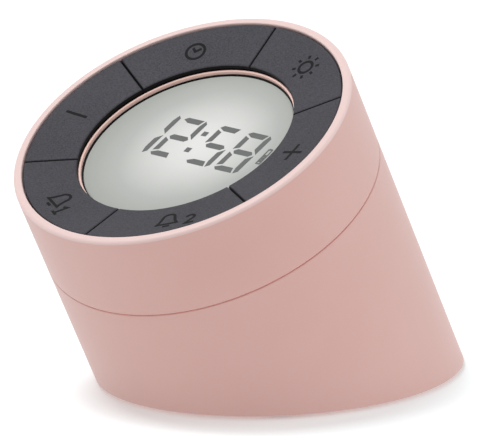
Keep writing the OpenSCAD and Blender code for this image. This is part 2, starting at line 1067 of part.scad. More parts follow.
// Round lead along a curve with four control points
module lead(p) {
    rings = [
        for (i = [0 : lead_steps])
            let (
                along = unit(curve_slope(p, i / lead_steps)),
                across = unit(cross(along, [0, 1, 0])),
                up = cross(across, along)
            )
                for (j = [0 : lead_sides - 1])
                    let (a = 360 * j / lead_sides)
                        curve_point(p, i / lead_steps) + lead_d / 2 * (cos(a) * across + sin(a) * up)
    ];
    last = lead_steps * lead_sides;
    sides = [
        for (i = [0 : lead_steps - 1], j = [0 : lead_sides - 1])
            let (a = i * lead_sides + j, b = i * lead_sides + (j + 1) % lead_sides)
                [a, b, b + lead_sides, a + lead_sides]
    ];
    start_cap = [for (j = [lead_sides - 1 : -1 : 0]) j];
    end_cap = [for (j = [0 : lead_sides - 1]) last + j];
    polyhedron(points = rings, faces = concat(sides, [start_cap, end_cap]));
}

module battery_leads() {
    plug_z = at_depth(board_bottom_depth + connector_size.z);
    color(black)
        for (side = [-1, 1])
            let (
                start = [side * (tray_half_x - tray_wall), base_mid_y, tray_top_z],
                plug_x = side * lead_spacing / 2
            )
                lead([
                    start,
                    start + [0, 0, lead_bend],
                    axis_point([plug_x, connector_y, plug_z - lead_bend]),
                    axis_point([plug_x, connector_y, plug_z])
                ]);
}

upper_housing();
lower_housing();
base_cover();
rubber_feet();
battery_door();
key_plus();
key_light();
key_clock();
key_minus();
key_alarm_one();
key_alarm_two();
plunger_plus();
plunger_light();
plunger_clock();
plunger_minus();
plunger_alarm_one();
plunger_alarm_two();
switch_bodies();
display_frame();
lcd_panel();
light_guide();
reflector_sheet();
backlight_leds();
zebra_strips();
main_board();
controller_chip();
crystal();
buzzer();
lead_connector();
board_screws();
housing_screws();
base_screws();
batteries();
battery_contacts();
battery_leads();
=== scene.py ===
"""Looks of a round bedside alarm clock: a leaning pink drum with six dark keys round a grey display.

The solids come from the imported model. Sizes here are in millimetres and MM turns them into metres.
Face coordinates lie in the clock's round face: x to the right, y up the face, z along the body axis.
"""

import math

import bmesh
import bpy
from mathutils import Matrix, Vector


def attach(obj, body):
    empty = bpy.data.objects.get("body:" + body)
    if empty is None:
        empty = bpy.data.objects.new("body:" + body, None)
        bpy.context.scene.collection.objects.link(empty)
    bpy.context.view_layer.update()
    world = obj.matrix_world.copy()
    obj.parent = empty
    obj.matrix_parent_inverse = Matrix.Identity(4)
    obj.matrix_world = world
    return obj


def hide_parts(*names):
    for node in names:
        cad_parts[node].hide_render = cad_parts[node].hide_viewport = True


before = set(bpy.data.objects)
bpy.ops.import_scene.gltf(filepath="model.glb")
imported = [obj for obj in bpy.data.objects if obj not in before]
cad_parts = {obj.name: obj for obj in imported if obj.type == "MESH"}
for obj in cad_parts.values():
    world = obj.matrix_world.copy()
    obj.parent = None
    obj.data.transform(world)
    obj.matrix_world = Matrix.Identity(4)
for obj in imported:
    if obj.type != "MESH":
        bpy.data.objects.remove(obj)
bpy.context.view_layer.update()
scene = bpy.context.scene

MM = 0.001

# Body, as in the solids; the rounds at the seam and the base are only here
BODY_R = 40.0
WALL_R = 38.0
AXIS_LEN = 72.0
LEAN = math.radians(28.3)
RIM_ROUND = 0.8
RIM_INNER_ROUND = 0.3
SEAM_DEPTH = 21.2
SEAM_GAP = 0.25
SEAM_GROOVE = 0.5
SEAM_ROUND = 0.2
TONGUE_LEN = 3.0
TONGUE_ROOT = 3.0
TONGUE_R = 37.9
TONGUE_IN_R = 36.7
BASE_LIFT = 0.8
BASE_ROUND = 0.5
BASE_INNER_ROUND = 0.2
FRONT_REACH = (
    (AXIS_LEN - RIM_ROUND) * math.sin(LEAN) + (BODY_R - RIM_ROUND) * math.cos(LEAN) + RIM_ROUND
)
BACK_REACH = BODY_R / math.cos(LEAN) - BASE_LIFT * math.tan(LEAN)
AXIS_FOOT_Y = (FRONT_REACH - BACK_REACH) / 2
AXIS_FOOT = Vector((0.0, AXIS_FOOT_Y, 0.0)) * MM

# Deck and collar inside the rim
DECK_DEPTH = 5.5
DECK_T = 1.5
COLLAR_R = 25.9
COLLAR_IN_R = 25.3
COLLAR_DEPTH = 3.95
COLLAR_ROUND = 0.25

# Keys
KEY_COUNT = 6
KEY_PITCH = 2 * math.pi / KEY_COUNT
KEY_OUTER_R = 37.7
KEY_INNER_R = 25.7
KEY_SKIRT_R = 26.2
KEY_MID_R = (KEY_OUTER_R + KEY_INNER_R) / 2
KEY_GAP = 0.45
KEY_SINK = 0.4
KEY_DISH = 2.1
KEY_RISE = KEY_DISH / (KEY_OUTER_R - KEY_INNER_R)
KEY_LIP_DEPTH = 3.45
KEY_LIP_ROW = 0.3
KEY_BOTTOM_DEPTH = 4.8
KEY_WALL = 1.2
KEY_ROUND = 0.35
KEY_STEP = 0.15
# Depth below the key tops from which the keys are painted near black as painted shade
KEY_PAINTED_SHADE_DEPTH = 0.25
KEY_STEPS = 48
KEY_ROUND_STEPS = 5
STEM_R = 2.0
STEM_END_DEPTH = 8.25
HOOK_ANGLE = math.radians(17.0)
HOOK_R = 33.7
HOOK_T = 1.2
HOOK_W = 3.0
HOOK_BARB = 0.8
HOOK_BARB_H = 1.0
HOOK_DEPTH = 7.05

# Display
LCD_DEPTH = 5.05
# Middle, in face millimetres, and reach of the painted glow on the display film
PAINTED_GLOW_AT = (2.5, 1.0)
PAINTED_GLOW_R = 30.0

# Base
COVER_RECESS = 0.4
COVER_Z = BASE_LIFT + COVER_RECESS
BASE_MID_Y = AXIS_FOOT_Y - COVER_Z * math.tan(LEAN)
FOOT_R = 4.2
FOOT_RECESS = 0.6
FOOT_H = COVER_Z + FOOT_RECESS
FOOT_ROUND = 0.5
FOOT_X = 22.0
FOOT_INSET = 8.0
FOOT_DY = math.sqrt(WALL_R**2 - FOOT_X**2) / math.cos(LEAN) - FOOT_INSET
CELL_PITCH = 10.9
CELL_BAND_X = 7.0
CELL_END_X = 21.0

# Fineness of the new meshes
TURN_STEPS = 256
SMALL_TURN_STEPS = 48
ARC_STEPS = 6
EDGE_ROW = 0.25
LONG_RUN = 3 * EDGE_ROW
MERGE = 1e-7
CREASE = math.radians(32.0)
PRINT_T = 0.05
PRINT_SINK = 0.02


def height_at(depth):
    """Height along the body axis of a depth below the rim."""
    return AXIS_LEN - depth


def key_top(radius):
    """Height of the dished key ring at a radius."""
    return height_at(KEY_SINK + (KEY_OUTER_R - radius) * KEY_RISE)


# Nodes and trees

FLAT = (1.0, 1.0, 0.0)


def plug(tree, socket, value):
    """Links a socket to another one, or sets its value."""
    if isinstance(value, bpy.types.NodeSocket):
        tree.links.new(value, socket)
    else:
        socket.default_value = value


def add_node(tree, kind, inputs=(), **options):
    """Adds a node, sets its options and fills its inputs by name or number."""
    item = tree.nodes.new(kind)
    for option, value in options.items():
        setattr(item, option, value)
    for key, value in dict(inputs).items():
        plug(tree, item.inputs[key], value)
    return item


def calc(tree, operation, *values):
    """One step of arithmetic in a tree."""
    item = add_node(tree, "ShaderNodeMath", enumerate(values), operation=operation)
    return item.outputs[0]


def axis_distance(tree, place):
    """Distance of a place from the upright axis of its coordinates."""
    flat = add_node(tree, "ShaderNodeVectorMath", {0: place, 1: FLAT}, operation="MULTIPLY")
    length = add_node(tree, "ShaderNodeVectorMath", {0: flat.outputs[0]}, operation="LENGTH")
    return length.outputs["Value"]


# Geometry trees

LEANING_INPUTS = (
    ("Lean", "NodeSocketFloat"),
    ("Foot", "NodeSocketVector"),
    ("Finish", "NodeSocketMaterial"),
)


def new_shape_tree(name, inputs):
    """Starts a geometry tree with named inputs and returns it with its input node."""
    tree = bpy.data.node_groups.new(name, "GeometryNodeTree")
    interface = tree.interface
    interface.new_socket(name="Geometry", in_out="INPUT", socket_type="NodeSocketGeometry")
    for label, kind in inputs:
        interface.new_socket(name=label, in_out="INPUT", socket_type=kind)
    interface.new_socket(name="Geometry", in_out="OUTPUT", socket_type="NodeSocketGeometry")
    return tree, tree.nodes.new("NodeGroupInput")


def end_shape_tree(tree, given, geometry):
    """Leans the shape onto the body, shades it smooth between sharp edges and gives it its finish."""
    turn = add_node(tree, "ShaderNodeCombineXYZ", {"X": given.outputs["Lean"]})
    leaned = add_node(
        tree,
        "GeometryNodeTransform",
        {"Geometry": geometry, "Translation": given.outputs["Foot"], "Rotation": turn.outputs[0]},
    )
    whole = add_node(tree, "GeometryNodeRealizeInstances", {"Geometry": leaned.outputs[0]})
    smooth = add_node(tree, "GeometryNodeSetShadeSmooth", {0: whole.outputs[0]}, domain="FACE")
    angle = add_node(tree, "GeometryNodeInputMeshEdgeAngle")
    sharp = add_node(
        tree,
        "FunctionNodeCompare",
        {0: angle.outputs[0], 1: CREASE},
        operation="GREATER_THAN",
    )
    creased = add_node(
        tree,
        "GeometryNodeSetShadeSmooth",
        {0: smooth.outputs[0], "Selection": sharp.outputs[0], "Shade Smooth": False},
        domain="EDGE",
    )
    finished = add_node(
        tree,
        "GeometryNodeSetMaterial",
        {"Geometry": creased.outputs[0], "Material": given.outputs["Finish"]},
    )
    end = tree.nodes.new("NodeGroupOutput")
    plug(tree, end.inputs[0], finished.outputs[0])
    return tree


def turned_tree():
    """Turns a closed profile round the body axis.

    A profile point is (radius, on base, height). Where on base is 1, its height is measured
    from the slanted cut of the base, and where it is 0, from the axis foot.
    """
    inputs = (("Steps", "NodeSocketInt"), ("Cut height", "NodeSocketFloat"), *LEANING_INPUTS)
    tree, given = new_shape_tree("Turned piece", inputs)
    steps = given.outputs["Steps"]
    lean = given.outputs["Lean"]
    count = add_node(tree, "GeometryNodeAttributeDomainSize", {0: given.outputs[0]}, component="MESH")
    rows = count.outputs["Point Count"]
    sheet = add_node(
        tree,
        "GeometryNodeMeshGrid",
        {"Vertices X": calc(tree, "ADD", steps, 1.0), "Vertices Y": rows},
    )
    index = add_node(tree, "GeometryNodeInputIndex").outputs[0]
    column = calc(tree, "FLOOR", calc(tree, "DIVIDE", index, rows))
    row = calc(tree, "SUBTRACT", index, calc(tree, "MULTIPLY", column, rows))
    turn = calc(tree, "DIVIDE", calc(tree, "MULTIPLY", column, 2 * math.pi), steps)
    place = add_node(tree, "GeometryNodeInputPosition").outputs[0]
    sample = add_node(
        tree,
        "GeometryNodeSampleIndex",
        {"Geometry": given.outputs[0], "Value": place, "Index": row},
        data_type="FLOAT_VECTOR",
    )
    point = add_node(tree, "ShaderNodeSeparateXYZ", {0: sample.outputs[0]})
    radius, on_base, height = point.outputs
    across = calc(tree, "MULTIPLY", radius, calc(tree, "COSINE", turn))
    up_face = calc(tree, "MULTIPLY", radius, calc(tree, "SINE", turn))
    drop = calc(tree, "MULTIPLY", up_face, calc(tree, "SINE", lean))
    slant = calc(tree, "SUBTRACT", given.outputs["Cut height"], drop)
    base = calc(tree, "DIVIDE", slant, calc(tree, "COSINE", lean))
    raised = calc(tree, "ADD", height, calc(tree, "MULTIPLY", on_base, base))
    target = add_node(tree, "ShaderNodeCombineXYZ", {"X": across, "Y": up_face, "Z": raised})
    placed = add_node(
        tree,
        "GeometryNodeSetPosition",
        {"Geometry": sheet.outputs["Mesh"], "Position": target.outputs[0]},
    )
    closed = add_node(
        tree,
        "GeometryNodeMergeByDistance",
        {"Geometry": placed.outputs[0], "Distance": MERGE},
    )
    return end_shape_tree(tree, given, closed.outputs[0])


def ring_place_tree():
    """Swings a shape drawn along +X round the body axis to its place in the ring."""
    tree, given = new_shape_tree("Place in the ring", (("Angle", "NodeSocketFloat"), *LEANING_INPUTS))
    turn = add_node(tree, "ShaderNodeCombineXYZ", {"Z": given.outputs["Angle"]})
    swung = add_node(
        tree,
        "GeometryNodeTransform",
        {"Geometry": given.outputs[0], "Rotation": turn.outputs[0]},
    )
    return end_shape_tree(tree, given, swung.outputs[0])


def printed_tree():
    """Gives flat marks the thickness of ink and lays them on a flat or dished round surface."""
    inputs = (
        ("Thickness", "NodeSocketFloat"),
        ("Height", "NodeSocketFloat"),
        ("Rise", "NodeSocketFloat"),
        *LEANING_INPUTS,
    )
    tree, given = new_shape_tree("Printed marks", inputs)
    up = add_node(tree, "ShaderNodeCombineXYZ", {"Z": 1.0})
    raised = add_node(
        tree,
        "GeometryNodeExtrudeMesh",
        {
            "Mesh": given.outputs[0],
            "Offset": up.outputs[0],
            "Offset Scale": given.outputs["Thickness"],
            "Individual": False,
        },
        mode="FACES",
    )
    under = add_node(tree, "GeometryNodeFlipFaces", {0: given.outputs[0]})
    both = tree.nodes.new("GeometryNodeJoinGeometry")
    tree.links.new(raised.outputs["Mesh"], both.inputs[0])
    tree.links.new(under.outputs[0], both.inputs[0])
    closed = add_node(
        tree,
        "GeometryNodeMergeByDistance",
        {"Geometry": both.outputs[0], "Distance": MERGE},
    )
    place = add_node(tree, "GeometryNodeInputPosition").outputs[0]
    climb = calc(tree, "MULTIPLY", axis_distance(tree, place), given.outputs["Rise"])
    height = calc(tree, "ADD", climb, given.outputs["Height"])
    lift = add_node(tree, "ShaderNodeCombineXYZ", {"Z": height})
    laid = add_node(
        tree,
        "GeometryNodeSetPosition",
        {"Geometry": closed.outputs[0], "Offset": lift.outputs[0]},
    )
    return end_shape_tree(tree, given, laid.outputs[0])


def rays_tree():
    """Repeats a flat ray, drawn along +X, all round a centre."""
    tree, given = new_shape_tree("Rays", (("Count", "NodeSocketInt"), *LEANING_INPUTS))
    count = given.outputs["Count"]
    points = add_node(tree, "GeometryNodeMeshLine", {"Count": count, "Offset": (0.0, 0.0, 0.0)})
    index = add_node(tree, "GeometryNodeInputIndex").outputs[0]
    angle = calc(tree, "DIVIDE", calc(tree, "MULTIPLY", index, 2 * math.pi), count)
    turn = add_node(tree, "ShaderNodeCombineXYZ", {"Z": angle})
    copies = add_node(
        tree,
        "GeometryNodeInstanceOnPoints",
        {"Points": points.outputs[0], "Instance": given.outputs[0], "Rotation": turn.outputs[0]},
    )
    return end_shape_tree(tree, given, copies.outputs[0])


def corners_tree():
    """Puts a copy of a shape at each corner of an oblong."""
    inputs = (("Width", "NodeSocketFloat"), ("Length", "NodeSocketFloat"), *LEANING_INPUTS)
    tree, given = new_shape_tree("At the base corners", inputs)
    points = add_node(
        tree,
        "GeometryNodeMeshGrid",
        {
            "Size X": given.outputs["Width"],
            "Size Y": given.outputs["Length"],
            "Vertices X": 2,
            "Vertices Y": 2,
        },
    )
    copies = add_node(
        tree,
        "GeometryNodeInstanceOnPoints",
        {"Points": points.outputs["Mesh"], "Instance": given.outputs[0]},
    )
    return end_shape_tree(tree, given, copies.outputs[0])


def run_tree(tree, start, **values):
    """Runs a tree on a starting mesh and returns the result as a plain mesh with outward faces."""
    helper = bpy.data.objects.new("helper", start)
    scene.collection.objects.link(helper)
    modifier = helper.modifiers.new(tree.name, "NODES")
    modifier.node_group = tree
    for item in tree.interface.items_tree:
        key = item.name.lower().replace(" ", "_")
        if item.in_out == "INPUT" and key in values:
            modifier[item.identifier] = values[key]
    depsgraph = bpy.context.evaluated_depsgraph_get()
    result = bpy.data.meshes.new_from_object(helper.evaluated_get(depsgraph), depsgraph=depsgraph)
    bpy.data.objects.remove(helper)
    bpy.data.meshes.remove(start)
    shape = bmesh.new()
    shape.from_mesh(result)
    bmesh.ops.recalc_face_normals(shape, faces=shape.faces)
    shape.to_mesh(result)
    shape.free()
    return result


# Profiles for turned pieces


def profile_point(radius, height, on_base=0.0):
    """A point of a profile, in metres."""
    return Vector((radius * MM, on_base, height * MM))


def corner(radius, height, rounding, start, end, on_base=0.0):
    """Rounded corner of a profile, about a centre, between two directions in degrees."""
    points = []
    for step in range(ARC_STEPS + 1):
        angle = math.radians(start + (end - start) * step / ARC_STEPS)
        across = radius + rounding * math.cos(angle)
        points.append(profile_point(across, height + rounding * math.sin(angle), on_base))
    return points


def steadied(profile):
    """Adds a row near both ends of each long run, so that shading stays even along it."""
    result = []
    row = EDGE_ROW * MM
    for here, there in zip(profile, profile[1:] + profile[:1]):
        result.append(here)
        run = math.hypot(there.x - here.x, there.z - here.z)
        if run > LONG_RUN * MM:
            result.append(here.lerp(there, row / run))
            result.append(there.lerp(here, row / run))
    return result


def upper_shell_profile():
    """Wall with its soft rim, the deck under the keys and the collar round the display."""
    foot = height_at(SEAM_DEPTH - SEAM_GAP / 2)
    deck_top = height_at(DECK_DEPTH)
    deck_foot = deck_top - DECK_T
    collar_top = height_at(COLLAR_DEPTH)
    return [
        *corner(BODY_R - SEAM_ROUND, foot + SEAM_ROUND, SEAM_ROUND, -90, 0),
        *corner(BODY_R - RIM_ROUND, AXIS_LEN - RIM_ROUND, RIM_ROUND, 0, 90),
        *corner(WALL_R + RIM_INNER_ROUND, AXIS_LEN - RIM_INNER_ROUND, RIM_INNER_ROUND, 90, 180),
        profile_point(WALL_R, deck_top),
        profile_point(COLLAR_R, deck_top),
        *corner(COLLAR_R - COLLAR_ROUND, collar_top - COLLAR_ROUND, COLLAR_ROUND, 0, 90),
        *corner(COLLAR_IN_R + COLLAR_ROUND, collar_top - COLLAR_ROUND, COLLAR_ROUND, 90, 180),
        profile_point(COLLAR_IN_R, deck_foot),
        profile_point(WALL_R, deck_foot),
        profile_point(WALL_R, foot),
    ]


def lower_shell_profile():
    """Wall from the slanted base to the seam, with the land and the tongue for the upper shell."""
    top = height_at(SEAM_DEPTH + SEAM_GAP / 2)
    land_top = top + SEAM_GAP
    tongue_top = height_at(SEAM_DEPTH) + TONGUE_LEN
    root = top - TONGUE_ROOT
    return [
        *corner(BODY_R - BASE_ROUND, BASE_ROUND, BASE_ROUND, -90, 0, 1.0),
        *corner(BODY_R - SEAM_ROUND, top - SEAM_ROUND, SEAM_ROUND, 0, 90),
        profile_point(BODY_R - SEAM_GROOVE, top),
        profile_point(BODY_R - SEAM_GROOVE, land_top),
        profile_point(TONGUE_R, land_top),
        profile_point(TONGUE_R, tongue_top),
        profile_point(TONGUE_IN_R, tongue_top),
        profile_point(TONGUE_IN_R, root),
        profile_point(WALL_R, root),
        *corner(WALL_R + BASE_INNER_ROUND, BASE_INNER_ROUND, BASE_INNER_ROUND, 180, 270, 1.0),
    ]


def foot_profile():
    """Rubber foot with a soft lower edge."""
    return [
        profile_point(0.0, 0.0),
        *corner(FOOT_R - FOOT_ROUND, FOOT_ROUND, FOOT_ROUND, -90, 0),
        profile_point(FOOT_R, FOOT_H),
        profile_point(0.0, FOOT_H),
    ]


def profile_mesh(points):
    """Line of points that a tree turns round, closed on itself."""
    mesh = bpy.data.meshes.new("profile")
    loop = [*points, points[0]]
    mesh.from_pydata(loop, [(i, i + 1) for i in range(len(loop) - 1)], [])
    return mesh


# Keys, drawn with the key's middle along +X


def key_loop(shape, outer, inner, side):
    """Loop of corners round a key: outer and inner arcs as (radius, height), sides drawn in by side."""
    loop = []
    for (radius, height), way in ((outer, 1), (inner, -1)):
        limit = way * (KEY_PITCH / 2 - math.asin((KEY_GAP / 2 + side) / radius))
        for step in range(KEY_STEPS + 1):
            angle = limit * (2 * step / KEY_STEPS - 1)
            spot = Vector((radius * math.cos(angle), radius * math.sin(angle), height))
            loop.append(shape.verts.new(spot * MM))
    return loop


def fill_key_loop(shape, loop):
    """Fills a key loop with strips from its outer to its inner edge."""
    last = len(loop) - 1
    for step in range(KEY_STEPS):
        shape.faces.new((loop[step], loop[step + 1], loop[last - step - 1], loop[last - step]))


def key_top_row(inset, drop):
    """Row near the key's top, drawn in from its edges by an inset."""
    outer = KEY_OUTER_R - inset
    inner = KEY_INNER_R + inset
    return (outer, key_top(outer) - drop), (inner, key_top(inner) - drop), inset


def key_cap_rows():
    """Rows of the hollow cap, from its ceiling round the skirt and the lip to its dished top.

    Below the rounded edges the sides step out, so that the gap between two keys looks dark to its end.
    """
    bottom = height_at(KEY_BOTTOM_DEPTH)
    lip = height_at(KEY_LIP_DEPTH)
    hollow_out = KEY_OUTER_R - KEY_WALL
    hollow_in = KEY_SKIRT_R + KEY_WALL
    ceiling_out = (hollow_out, key_top(hollow_out) - KEY_WALL)
    ceiling_in = (hollow_in, key_top(hollow_in) - KEY_WALL)
    step_out, step_in, _ = key_top_row(0.0, KEY_ROUND + KEY_STEP)
    rows = [
        (ceiling_out, ceiling_in, KEY_WALL),
        ((hollow_out, bottom), (hollow_in, bottom), KEY_WALL),
        ((KEY_OUTER_R, bottom), (KEY_SKIRT_R, bottom), -KEY_STEP),
        ((KEY_OUTER_R, lip), (KEY_SKIRT_R, lip), -KEY_STEP),
        ((KEY_OUTER_R, lip + KEY_LIP_ROW), (KEY_INNER_R, lip), -KEY_STEP),
        (step_out, step_in, -KEY_STEP),
    ]
    for step in range(KEY_ROUND_STEPS + 1):
        angle = math.pi / 2 * step / KEY_ROUND_STEPS
        inset = KEY_ROUND * (1 - math.cos(angle))
        drop = KEY_ROUND * (1 - math.sin(angle))
        rows.append(key_top_row(inset, drop))
    return [*rows, key_top_row(KEY_ROUND + EDGE_ROW, 0.0)]


def add_key_cap(shape):
    """Hollow cap with all its top edges rounded and a lip at its inner edge."""
    loops = [key_loop(shape, *row) for row in key_cap_rows()]
    for below, above in zip(loops, loops[1:]):
        for here in range(len(below)):
            there = (here + 1) % len(below)
            shape.faces.new((below[here], below[there], above[there], above[here]))
    fill_key_loop(shape, loops[0])
    fill_key_loop(shape, loops[-1])


def add_key_stem(shape):
    """Round stem that slides in the deck's bore."""
    foot = height_at(STEM_END_DEPTH)
    top = key_top(KEY_MID_R) - KEY_WALL / 2
    place = Vector((KEY_MID_R, 0.0, (foot + top) / 2)) * MM
    bmesh.ops.create_cone(
        shape,
        cap_ends=True,
        segments=SMALL_TURN_STEPS,
        radius1=STEM_R * MM,
        radius2=STEM_R * MM,
        depth=(top - foot) * MM,
        matrix=Matrix.Translation(place),
    )


def add_key_hook(shape, angle):
    """Barbed hook that holds the key under the deck."""
    inner = HOOK_R - HOOK_T / 2
    outer = HOOK_R + HOOK_T / 2
    top = key_top(HOOK_R) - KEY_WALL / 2
    barb = height_at(HOOK_DEPTH)
    section = (
        (inner, top),
        (inner, barb - HOOK_BARB_H),
        (outer, barb - HOOK_BARB_H),
        (outer + HOOK_BARB, barb),
        (outer, barb),
        (outer, top),
    )
    swing = Matrix.Rotation(angle, 4, "Z")
    ends = []
    for side in (-HOOK_W / 2, HOOK_W / 2):
        ends.append([shape.verts.new(swing @ (Vector((x, side, z)) * MM)) for x, z in section])
    near, far = ends
    shape.faces.new(near)
    shape.faces.new(far[::-1])
    for here in range(len(section)):
        there = (here + 1) % len(section)
        shape.faces.new((near[here], far[here], far[there], near[there]))


def key_mesh():
    """One key with its cap, stem and two hooks."""
    shape = bmesh.new()
    add_key_cap(shape)
    add_key_stem(shape)
    add_key_hook(shape, -HOOK_ANGLE)
    add_key_hook(shape, HOOK_ANGLE)
    mesh = bpy.data.meshes.new("key")
    shape.to_mesh(mesh)
    shape.free()
    return mesh


# Flat marks, as lists of polygons in millimetres

# Each key's place in the ring in degrees, then where its mark lies and how far it is turned
KEY_SPOTS = {
    "plus": (0.0, (31.95, -0.1), 0.0),
    "light": (60.0, (15.85, 27.35), -30.0),
    "clock": (120.0, (-16.25, 26.65), 0.0),
    "minus": (180.0, (-31.9, 0.0), 1.0),
    "alarm_one": (240.0, (-15.5, -27.2), -28.0),
    "alarm_two": (300.0, (16.3, -27.4), 28.0),
}
# Where the numbers of the two alarms lie and how far they are turned
NUMBER_SPOTS = {"alarm_one": ((-12.6, -30.8), -30.0), "alarm_two": ((21.9, -26.3), 30.0)}
STROKE = 0.68
SIGN_STROKE = 0.75
STROKE_STEP = 0.6
MITRE_LIMIT = 0.5
RING_STEPS = 48
BOW_STEPS = 12
CLOCK_R = 2.25
CLOCK_HANDS = ((-1.15, 0.75), (0.0, -0.05), (1.05, 1.15))
SUN_R = 1.7
SUN_RAY = (2.6, 3.55)
SUN_RAYS = 8
SIGN_HALF = 2.8
BELL_SIDE = ((-2.35, -2.1), (-1.8, -1.0), (-1.4, 0.75))
BELL_DOME = 1.4
CLAPPER = (0.8, -3.1)
ONE_STEM = ((-0.75, 0.85), (0.1, 1.5), (0.1, -1.5))
ONE_FOOT = ((-0.9, -1.8), (1.1, -1.8))
TWO_BOW = 0.95
TWO_BOW_UP = 0.75
TWO_BOW_TURN = (165, -35)
TWO_FOOT = ((-1.0, -1.75), (1.1, -1.75))


def split_line(points):
    """The same line with points close enough together to follow the dished keys."""
    line = [Vector(point) for point in points]
    result = line[:1]
    for here, there in zip(line, line[1:]):
        parts = max(1, math.ceil((there - here).length / STROKE_STEP))
        result += [here.lerp(there, part / parts) for part in range(1, parts + 1)]
    return result


def stroke(points, width=STROKE, closed=False):
    """Ribbon of even width along a line."""
    line = split_line([*points, points[0]] if closed else points)
    ways = [(there - here).normalized() for here, there in zip(line, line[1:])]
    ways_in = [ways[-1] if closed else ways[0], *ways]
    ways_out = [*ways, ways[0] if closed else ways[-1]]
    sides = []
    for point, way_in, way_out in zip(line, ways_in, ways_out):
        mean = (way_in + way_out).normalized()
        reach = width / 2 / max(mean.dot(way_in), MITRE_LIMIT)
        across = Vector((-mean.y, mean.x)) * reach
        sides.append((point + across, point - across))
    return [(a, b, d, c) for (a, b), (c, d) in zip(sides, sides[1:])]


def arc_line(centre, radius, start, end, steps):
    """Points along an arc, from a start to an end in degrees."""
    angles = [math.radians(start + (end - start) * step / steps) for step in range(steps + 1)]
    return [(centre[0] + radius * math.cos(a), centre[1] + radius * math.sin(a)) for a in angles]


def ring(radius):
    """Ring of one stroke."""
    return stroke(arc_line((0.0, 0.0), radius, 0, 360, RING_STEPS)[:-1], closed=True)


def moved(polygons, centre, turn=0.0):
    """Polygons turned by degrees and moved."""
    spin = Matrix.Rotation(math.radians(turn), 2)
    return [[spin @ Vector(point) + Vector(centre) for point in polygon] for polygon in polygons]


def flat_mesh(polygons):
    """Mesh of flat polygons, joined where they meet."""
    shape = bmesh.new()
    for polygon in polygons:
        shape.faces.new([shape.verts.new((x * MM, y * MM, 0.0)) for x, y in polygon])
    bmesh.ops.remove_doubles(shape, verts=shape.verts, dist=MERGE)
    bmesh.ops.recalc_face_normals(shape, faces=shape.faces)
    flipped = [face for face in shape.faces if face.normal.z < 0]
    bmesh.ops.reverse_faces(shape, faces=flipped)
    mesh = bpy.data.meshes.new("marks")
    shape.to_mesh(mesh)
    shape.free()
    return mesh


def mesh_polygons(mesh):
    """Polygons of a flat mesh, in millimetres."""
    return [[mesh.vertices[i].co.xy / MM for i in face.vertices] for face in mesh.polygons]


def clock_icon():
    """Small dial with two hands."""
    return ring(CLOCK_R) + stroke(CLOCK_HANDS)


def sun_icon(rays):
    """Ring with rays all round it, for the light."""
    ray = flat_mesh(stroke([(reach, 0.0) for reach in SUN_RAY]))
    around = run_tree(rays, ray, count=SUN_RAYS)
    polygons = mesh_polygons(around)
    bpy.data.meshes.remove(around)
    return ring(SUN_R) + polygons


def plus_icon():
    """Upright cross, in three pieces that don't overlap."""
    gap = SIGN_STROKE / 2
    upper = stroke([(0.0, gap), (0.0, SIGN_HALF)], SIGN_STROKE)
    lower = stroke([(0.0, -SIGN_HALF), (0.0, -gap)], SIGN_STROKE)
    return minus_icon() + upper + lower


def minus_icon():
    """Single bar."""
    return stroke([(-SIGN_HALF, 0.0), (SIGN_HALF, 0.0)], SIGN_STROKE)


def bell_icon():
    """Outlined bell with its clapper."""
    shoulder = BELL_SIDE[-1][1]
    right = [(-x, y) for x, y in reversed(BELL_SIDE)]
    dome = arc_line((0.0, shoulder), BELL_DOME, 180, 0, BOW_STEPS)[1:-1]
    reach, low = CLAPPER
    return stroke([*BELL_SIDE, *dome, *right], closed=True) + stroke([(-reach, low), (reach, low)])


def number_one():
    """Figure 1."""
    return stroke(ONE_STEM) + stroke(ONE_FOOT)


def number_two():
    """Figure 2."""
    bow = arc_line((0.0, TWO_BOW_UP), TWO_BOW, *TWO_BOW_TURN, BOW_STEPS)
    return stroke([*bow, *TWO_FOOT])


# Figures of the display

DIGIT_W = 7.1
DIGIT_H = 13.6
BAR = 1.65
SIDE_BAR = 1.45
BAR_GAP = 0.5
BAR_LEAN = 0.6
DIGIT_SLANT = math.tan(math.radians(2.0))
DIGIT_BASE = -5.25
FIGURES_TURN = -3.35
# The bars that each figure lights, from a at the top round to f, and g in the middle
LIT = {"1": "bc", "2": "abged", "5": "afgcd", "8": "abcdefg"}
# The figures of the time with their left edges
DIGITS = (("1", -15.95), ("2", -7.75), ("5", 3.45), ("8", 11.98))
COLON_SPOTS = ((1.35, 4.55), (1.05, -1.35))
COLON_SIZE = 1.5
# Left, right, foot and top of the battery mark
BATTERY_MARK = (21.3, 22.3, -0.6, 4.2)
BATTERY_LINE = 0.4
BATTERY_STEP = 0.9
BATTERY_LEVELS = 3


def segment_bars():
    """The seven bars of a figure from its lower left corner; the right sides own the right corners."""
    mid = DIGIT_H / 2
    half = BAR / 2
    tip = SIDE_BAR / 2
    inner = DIGIT_W - SIDE_BAR
    ceiling = DIGIT_H - BAR
    top = [
        (0.0, DIGIT_H - half),
        (half, DIGIT_H),
        (inner, DIGIT_H),
        (inner - BAR_LEAN, ceiling),
        (BAR, ceiling),
    ]
    right = [
        (inner + BAR_GAP, DIGIT_H),
        (DIGIT_W, DIGIT_H - half),
        (DIGIT_W, mid + BAR_GAP / 2),
        (inner, mid + BAR_GAP / 2 + SIDE_BAR),
        (inner, ceiling - BAR_GAP / 2),
    ]
    left = [
        (0.0, ceiling + BAR_GAP / 4),
        (SIDE_BAR, ceiling - BAR_GAP),
        (SIDE_BAR, mid + half + BAR_GAP),
        (0.0, mid + BAR_GAP),
    ]
    middle = [
        (tip, mid),
        (SIDE_BAR, mid + half),
        (inner, mid + half),
        (DIGIT_W - tip, mid),
        (inner, mid - half),
        (SIDE_BAR, mid - half),
    ]
    upper = {"a": top, "b": right, "f": left}
    below = {"a": "d", "b": "c", "f": "e"}
    lower = {below[name]: [(x, DIGIT_H - y) for x, y in bar] for name, bar in upper.items()}
    return {**upper, **lower, "g": middle}


